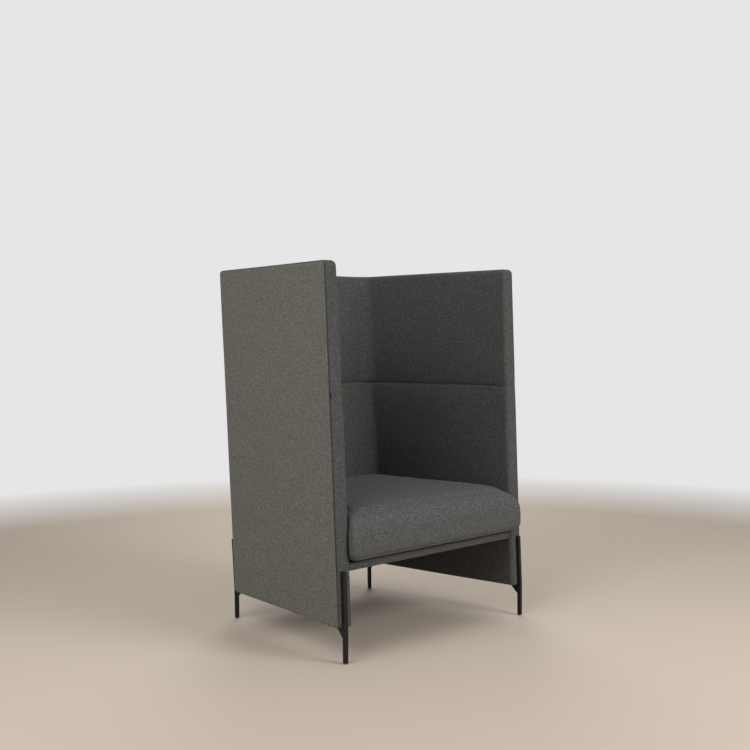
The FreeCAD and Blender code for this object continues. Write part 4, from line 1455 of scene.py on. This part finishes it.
def tier_seam():
    """Line just under the edge of the upper tier, from the right front to the middle of the back."""
    return [inner_place(UPPER_TIER, UPPER_RADIUS, kind, value, SEAM_LEVEL - 0.2 * MM,
                        seam_sink(kind, value, TIER_SEAM_DEPTH))
            for kind, value in inner_columns() if kind != "edge"]


def back_seam():
    return [outer_place("back", BACK_SEAM / BACK_HALF, BACK_SEAM_DEPTH, level, 0)
            for level in even_steps(SEAM_START, OVERALL_HEIGHT - 6 * MM, 60)]


def cushion_seam():
    """Closed line at the bottom of the groove round the cushion."""
    drawn_front, drawn_side, bulge = (curve_between(cushion_table(), CUSHION_SEAM, column)
                                      for column in (1, 2, 3))
    line = cushion_outline(drawn_front + CUSHION_SEAM_DEPTH, drawn_side + CUSHION_SEAM_DEPTH, bulge,
                           CUSHION_BOTTOM + CUSHION_SEAM, 40)
    return line + line[:1]


seam_lines = [whole_line(main_seam()), whole_line(tier_seam()), back_seam(), mirrored(back_seam())]
set_along("seam_stitches", seam_lines, stitch_tree, STITCH, "chair")
set_along("cushion_stitches", [cushion_seam()], stitch_tree, STITCH, "cushion")

# %% [markdown]
# ## Webbing and the cloths under the seat
# Elastic straps are woven over and under one another across the seat frame. A black cloth lies over them and
# hides them when the cushion is out, and a second one is stapled under the rails against dust.

# %% Webbing and the cloths under the seat
STRAP_WIDTH = 50 * MM
STRAP_THICK = 1.4 * MM
STRAP_PITCH = 96 * MM
STRAP_LEVEL = 0.3138
STRAP_FRONT = -0.337
STRAP_WEAVE = 0.85 * MM
BOARD_IN = COVER + BOARD
DECK_LEVEL = 0.3176
DECK_FRONT = -0.343
DUST_LEVEL = 0.2868
DUST_FRONT = -0.307
# The cloths stay clear of the boards and walls, and their rear corners are cut round
CLOTH_GAP = 8 * MM
CLOTH_CORNER = 60 * MM
CORNER_CUT = 55 * MM
CLOTH_THICK = 0.8 * MM


def strap_rows(start, end, sideways, over_first):
    """Rows of a strap that passes over and under the straps it crosses."""
    rows = []
    for share in even_shares(61):
        middle = start.lerp(end, share)
        along = middle.y if abs(sideways.x) > 0.5 else middle.x
        weave = STRAP_WEAVE * math.cos(math.pi * along / STRAP_PITCH) * (1 if over_first else -1)
        rows.append([middle + sideways * STRAP_WIDTH * offset + Vector((0, 0, weave))
                     for offset in (-0.5, -0.17, 0.17, 0.5)])
    return rows


def webbing_straps():
    """Five straps across the seat and five from front to back, each as its rows."""
    straps = []
    rear = back_y(STRAP_LEVEL) - BOARD_IN - 15 * MM
    for number in range(-2, 3):
        middle = number * STRAP_PITCH
        half = wall_x(middle + STRAP_WIDTH, BOARD_IN + CLOTH_GAP, STRAP_LEVEL)
        straps.append(strap_rows(Vector((-half, middle, STRAP_LEVEL)), Vector((half, middle, STRAP_LEVEL)),
                                 Vector((0, -1, 0)), number % 2 == 0))
        straps.append(strap_rows(Vector((middle, STRAP_FRONT, STRAP_LEVEL)),
                                 Vector((middle, rear, STRAP_LEVEL)), Vector((1, 0, 0)), number % 2 == 1))
    return straps


def sheets_in_one(name, sheets, material):
    """One piece from several sheets of points."""
    points = []
    faces = []
    for rows in sheets:
        base = len(points)
        points += [point for row in rows for point in row]
        faces += [tuple(base + index for index in face) for face in grid_faces(len(rows), len(rows[0]))]
    return add_piece(name, points, faces, material)


webbing = thicken(sheets_in_one("webbing", webbing_straps(), elastic_web), STRAP_THICK)
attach(webbing, "chair")
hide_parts("seat_webbing")
print("webbing of", len(webbing_straps()), "straps")


def cloth_rows(level, depth, front, rear, sag, count):
    """Four-sided cloth between the walls, with a little sag and its rear corners cut round."""
    rows = []
    for share in even_shares(count):
        y = front + (rear - front) * share
        half = wall_x(y, depth, level)
        over = max(0.0, y - (rear - CLOTH_CORNER)) / CLOTH_CORNER
        half -= CORNER_CUT * (1 - math.sqrt(1 - min(over, 1) ** 2))
        row = []
        for side in even_shares(count):
            x = (2 * side - 1) * half
            hang = sag * (1 - (2 * side - 1) ** 2) * (1 - (2 * share - 1) ** 2)
            row.append(Vector((x, y, level - hang + 0.15 * MM * ripple((x, y, 0), 0.03, 12))))
        rows.append(row)
    return rows


def cloth(name, rows, node, rests_on):
    """Stretched cloth, given its thickness and set on the chair in place of a frame piece."""
    piece = thicken(sheet_piece(name, rows, felt), CLOTH_THICK)
    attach(piece, "chair")
    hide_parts(node)


deck_depth = BOARD_IN + CLOTH_GAP
deck_rows = cloth_rows(DECK_LEVEL, deck_depth, DECK_FRONT, back_y(DECK_LEVEL) - deck_depth, 1.6 * MM, 60)
cloth("deck_sheet", deck_rows, "deck_cloth", ["webbing"])
dust_depth = WALL + CLOTH_GAP
dust_rows = cloth_rows(DUST_LEVEL, dust_depth, DUST_FRONT, back_y(DUST_LEVEL) - dust_depth, 2.5 * MM, 50)
cloth("dust_sheet", dust_rows, "dust_cover", ["rear_rail"])

# %% [markdown]
# ## Screws and staples underneath
# Eight hexagon screws with washers hold the tongues. Staples fix the dust cloth to the rails and the closing
# strips to the boards.

# %% Screws and staples underneath
# Radius and height of each ring, in millimetres
HEAD_PROFILE = [(3.7, 0.0), (4.5, 0.5), (4.5, 2.4)]
WASHER_PROFILE = [(6.0, 2.3), (6.2, 2.5), (6.2, 3.0)]
HEAD_HEIGHT = 3 * MM
BOARD_MIDDLE = COVER + BOARD / 2
STAPLE = {"Step": 42 * MM, "Size": (9 * MM, 1.1 * MM, 0.7 * MM), "Unevenness": 0.12}
STAPLE_INSET = 9 * MM
STAPLE_DROP = 1.1 * MM


def screw_places():
    """Two screws by each leg: one behind the other in front, side by side at the rear."""
    level = Vector((0, 0, TONGUE_UNDER - HEAD_HEIGHT))
    across = LEG_INSET - BOARD_MIDDLE
    right = [from_leg(True, across, FRONT_TONGUE - back * MM) + level for back in (12, 36)]
    right += [from_leg(False, side * TONGUE_WIDTH / 4, BOARD_MIDDLE) + level for side in (1, -1)]
    return right + mirrored(right)


def moved(points, x, y):
    """Line of staples below a cloth, moved in from its edge."""
    return [point + Vector((x, y, -STAPLE_DROP)) for point in points]


heads = turned_pieces("screw_heads", screw_places(), HEAD_PROFILE, 6, zinc)
heads.data.polygons.foreach_set("use_smooth", [False] * len(heads.data.polygons))
washers = turned_pieces("screw_washers", screw_places(), WASHER_PROFILE, 24, zinc)
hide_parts("leg_screws")
for piece in (heads, washers):
    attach(piece, "chair")

dust_edge = moved([row[0] for row in dust_rows[2:-8]], STAPLE_INSET, 0)
dust_back = moved(dust_rows[-1][12:-12], 0, -STAPLE_INSET)
dust_front = moved(dust_rows[0][2:-2], 0, STAPLE_INSET)
strip_line = [wall_point(along, BOARD_MIDDLE, SHELL_BOTTOM - 0.2 * MM)
              for along in even_steps(0.11, 0.61, 30)]
staple_lines = [dust_edge, mirrored(dust_edge), dust_back, dust_front, strip_line, mirrored(strip_line)]
set_along("staples", staple_lines, staple_tree, STAPLE, "chair")

# %% [markdown]
# ## Finishes for the pieces that stay from the frame
# Boards, rails and closing strips are plain solids already, so they only get their materials.

# %% Finishes for the pieces that stay from the frame
KEPT = [
    (birch, ["side_board_left", "side_board_right", "corner_board_left", "corner_board_right",
             "back_board"]),
    (beech_wood, ["front_rail", "rear_rail", "side_rail_left", "side_rail_right", "corner_block_left",
                  "corner_block_right"]),
    (strip_plastic, ["side_strip_left", "side_strip_right", "back_strip"]),
    (zinc, ["rail_screws"]),
]
for material, names in KEPT:
    for name in names:
        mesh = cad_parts[name].data
        mesh.materials.clear()
        mesh.materials.append(material)
    print(material.name, "on", len(names), "frame pieces")

# %% [markdown]
# ## Stage and light
# A pale floor fades into an even, paler background a few metres out, in every direction, so that nothing
# hides the chair from any side. What the camera sees beyond the floor is plain colour and lights nothing:
# the light comes from soft round lamps at the front, left and top, one behind, and a very faint sky.

# %% Stage and light
FLOOR_COLOUR = (0.66, 0.56, 0.46, 1)
BACKGROUND_COLOUR = (0.79, 0.79, 0.79, 1)
SKY_COLOUR = (0.80, 0.81, 0.80, 1)
SKY_STRENGTH = 0.06
FLOOR_HALF = 30
FADE_START = 2.7
FADE_END = 4.1
LAMP_TARGET = Vector((0, 0, 0.6))
# Place, width in metres and power in watts
LAMPS = {
    "key_light": ((-3.4, -1.2, 3.4), 2.6, 71),
    "left_light": ((-4.0, 0.3, 1.9), 2.0, 28),
    "top_light": ((-0.2, -0.4, 4.4), 2.8, 28),
    "front_light": ((0.9, -4.2, 2.4), 2.4, 122),
    "rear_light": ((2.6, 3.0, 2.8), 2.6, 60),
}


def seen_directly(tree):
    """1 for what the camera sees, also in a mirror or through glass."""
    path = put_node(tree, "ShaderNodeLightPath")
    outputs = path.socket.node.outputs
    rays = [Wire(tree, outputs[name]) for name in ("Is Camera Ray", "Is Glossy Ray", "Is Transmission Ray")]
    return (rays[0] + rays[1] + rays[2]).between(0, 1)


def stage_paint():
    """Floor colour that fades into the background's, for what the camera sees."""
    material, tree, shader = new_material("stage_paint")
    from_middle = put_node(tree, "ShaderNodeVectorMath", {"operation": "LENGTH"}, {0: own_place(tree)},
                           "Value")
    faded = from_middle.between(FADE_START, FADE_END) * seen_directly(tree)
    plug(shader, Base_Color=FLOOR_COLOUR, Roughness=0.75)
    plain = put_node(tree, "ShaderNodeEmission", inputs={"Color": BACKGROUND_COLOUR, "Strength": 1.0})
    both = put_node(tree, "ShaderNodeMixShader",
                    inputs={0: faded, 1: Wire(tree, shader.outputs[0]), 2: plain})
    surface = next(node for node in tree.nodes if node.type == "OUTPUT_MATERIAL").inputs["Surface"]
    tree.links.new(both.socket, surface)
    return material


corners = [[Vector((x, y, 0)) for x in (-FLOOR_HALF, FLOOR_HALF)] for y in (-FLOOR_HALF, FLOOR_HALF)]
floor = sheet_piece("floor", corners, stage_paint())


def soft_lamp(name, place, size, power):
    """Round lamp that faces the chair's middle."""
    light = bpy.data.lights.new(name, "AREA")
    light.shape = "DISK"
    light.size = size
    light.energy = power
    lamp = new_object(name, light)
    lamp.location = place
    lamp.rotation_mode = "QUATERNION"
    lamp.rotation_quaternion = (LAMP_TARGET - Vector(place)).to_track_quat("-Z", "Y")


def sky_light():
    world = bpy.data.worlds.new("sky")
    world.use_nodes = True
    bpy.context.scene.world = world
    tree = world.node_tree
    tree.nodes.clear()
    lighting = put_node(tree, "ShaderNodeBackground", inputs={"Color": SKY_COLOUR, "Strength": SKY_STRENGTH})
    plain = put_node(tree, "ShaderNodeBackground", inputs={"Color": BACKGROUND_COLOUR, "Strength": 1.0})
    both = put_node(tree, "ShaderNodeMixShader", inputs={0: seen_directly(tree), 1: lighting, 2: plain})
    put_node(tree, "ShaderNodeOutputWorld", inputs={"Surface": both})


for name, (place, size, power) in LAMPS.items():
    soft_lamp(name, place, size, power)
sky_light()
bpy.context.scene.view_settings.view_transform = "Standard"
print("floor, sky and", len(LAMPS), "lamps")
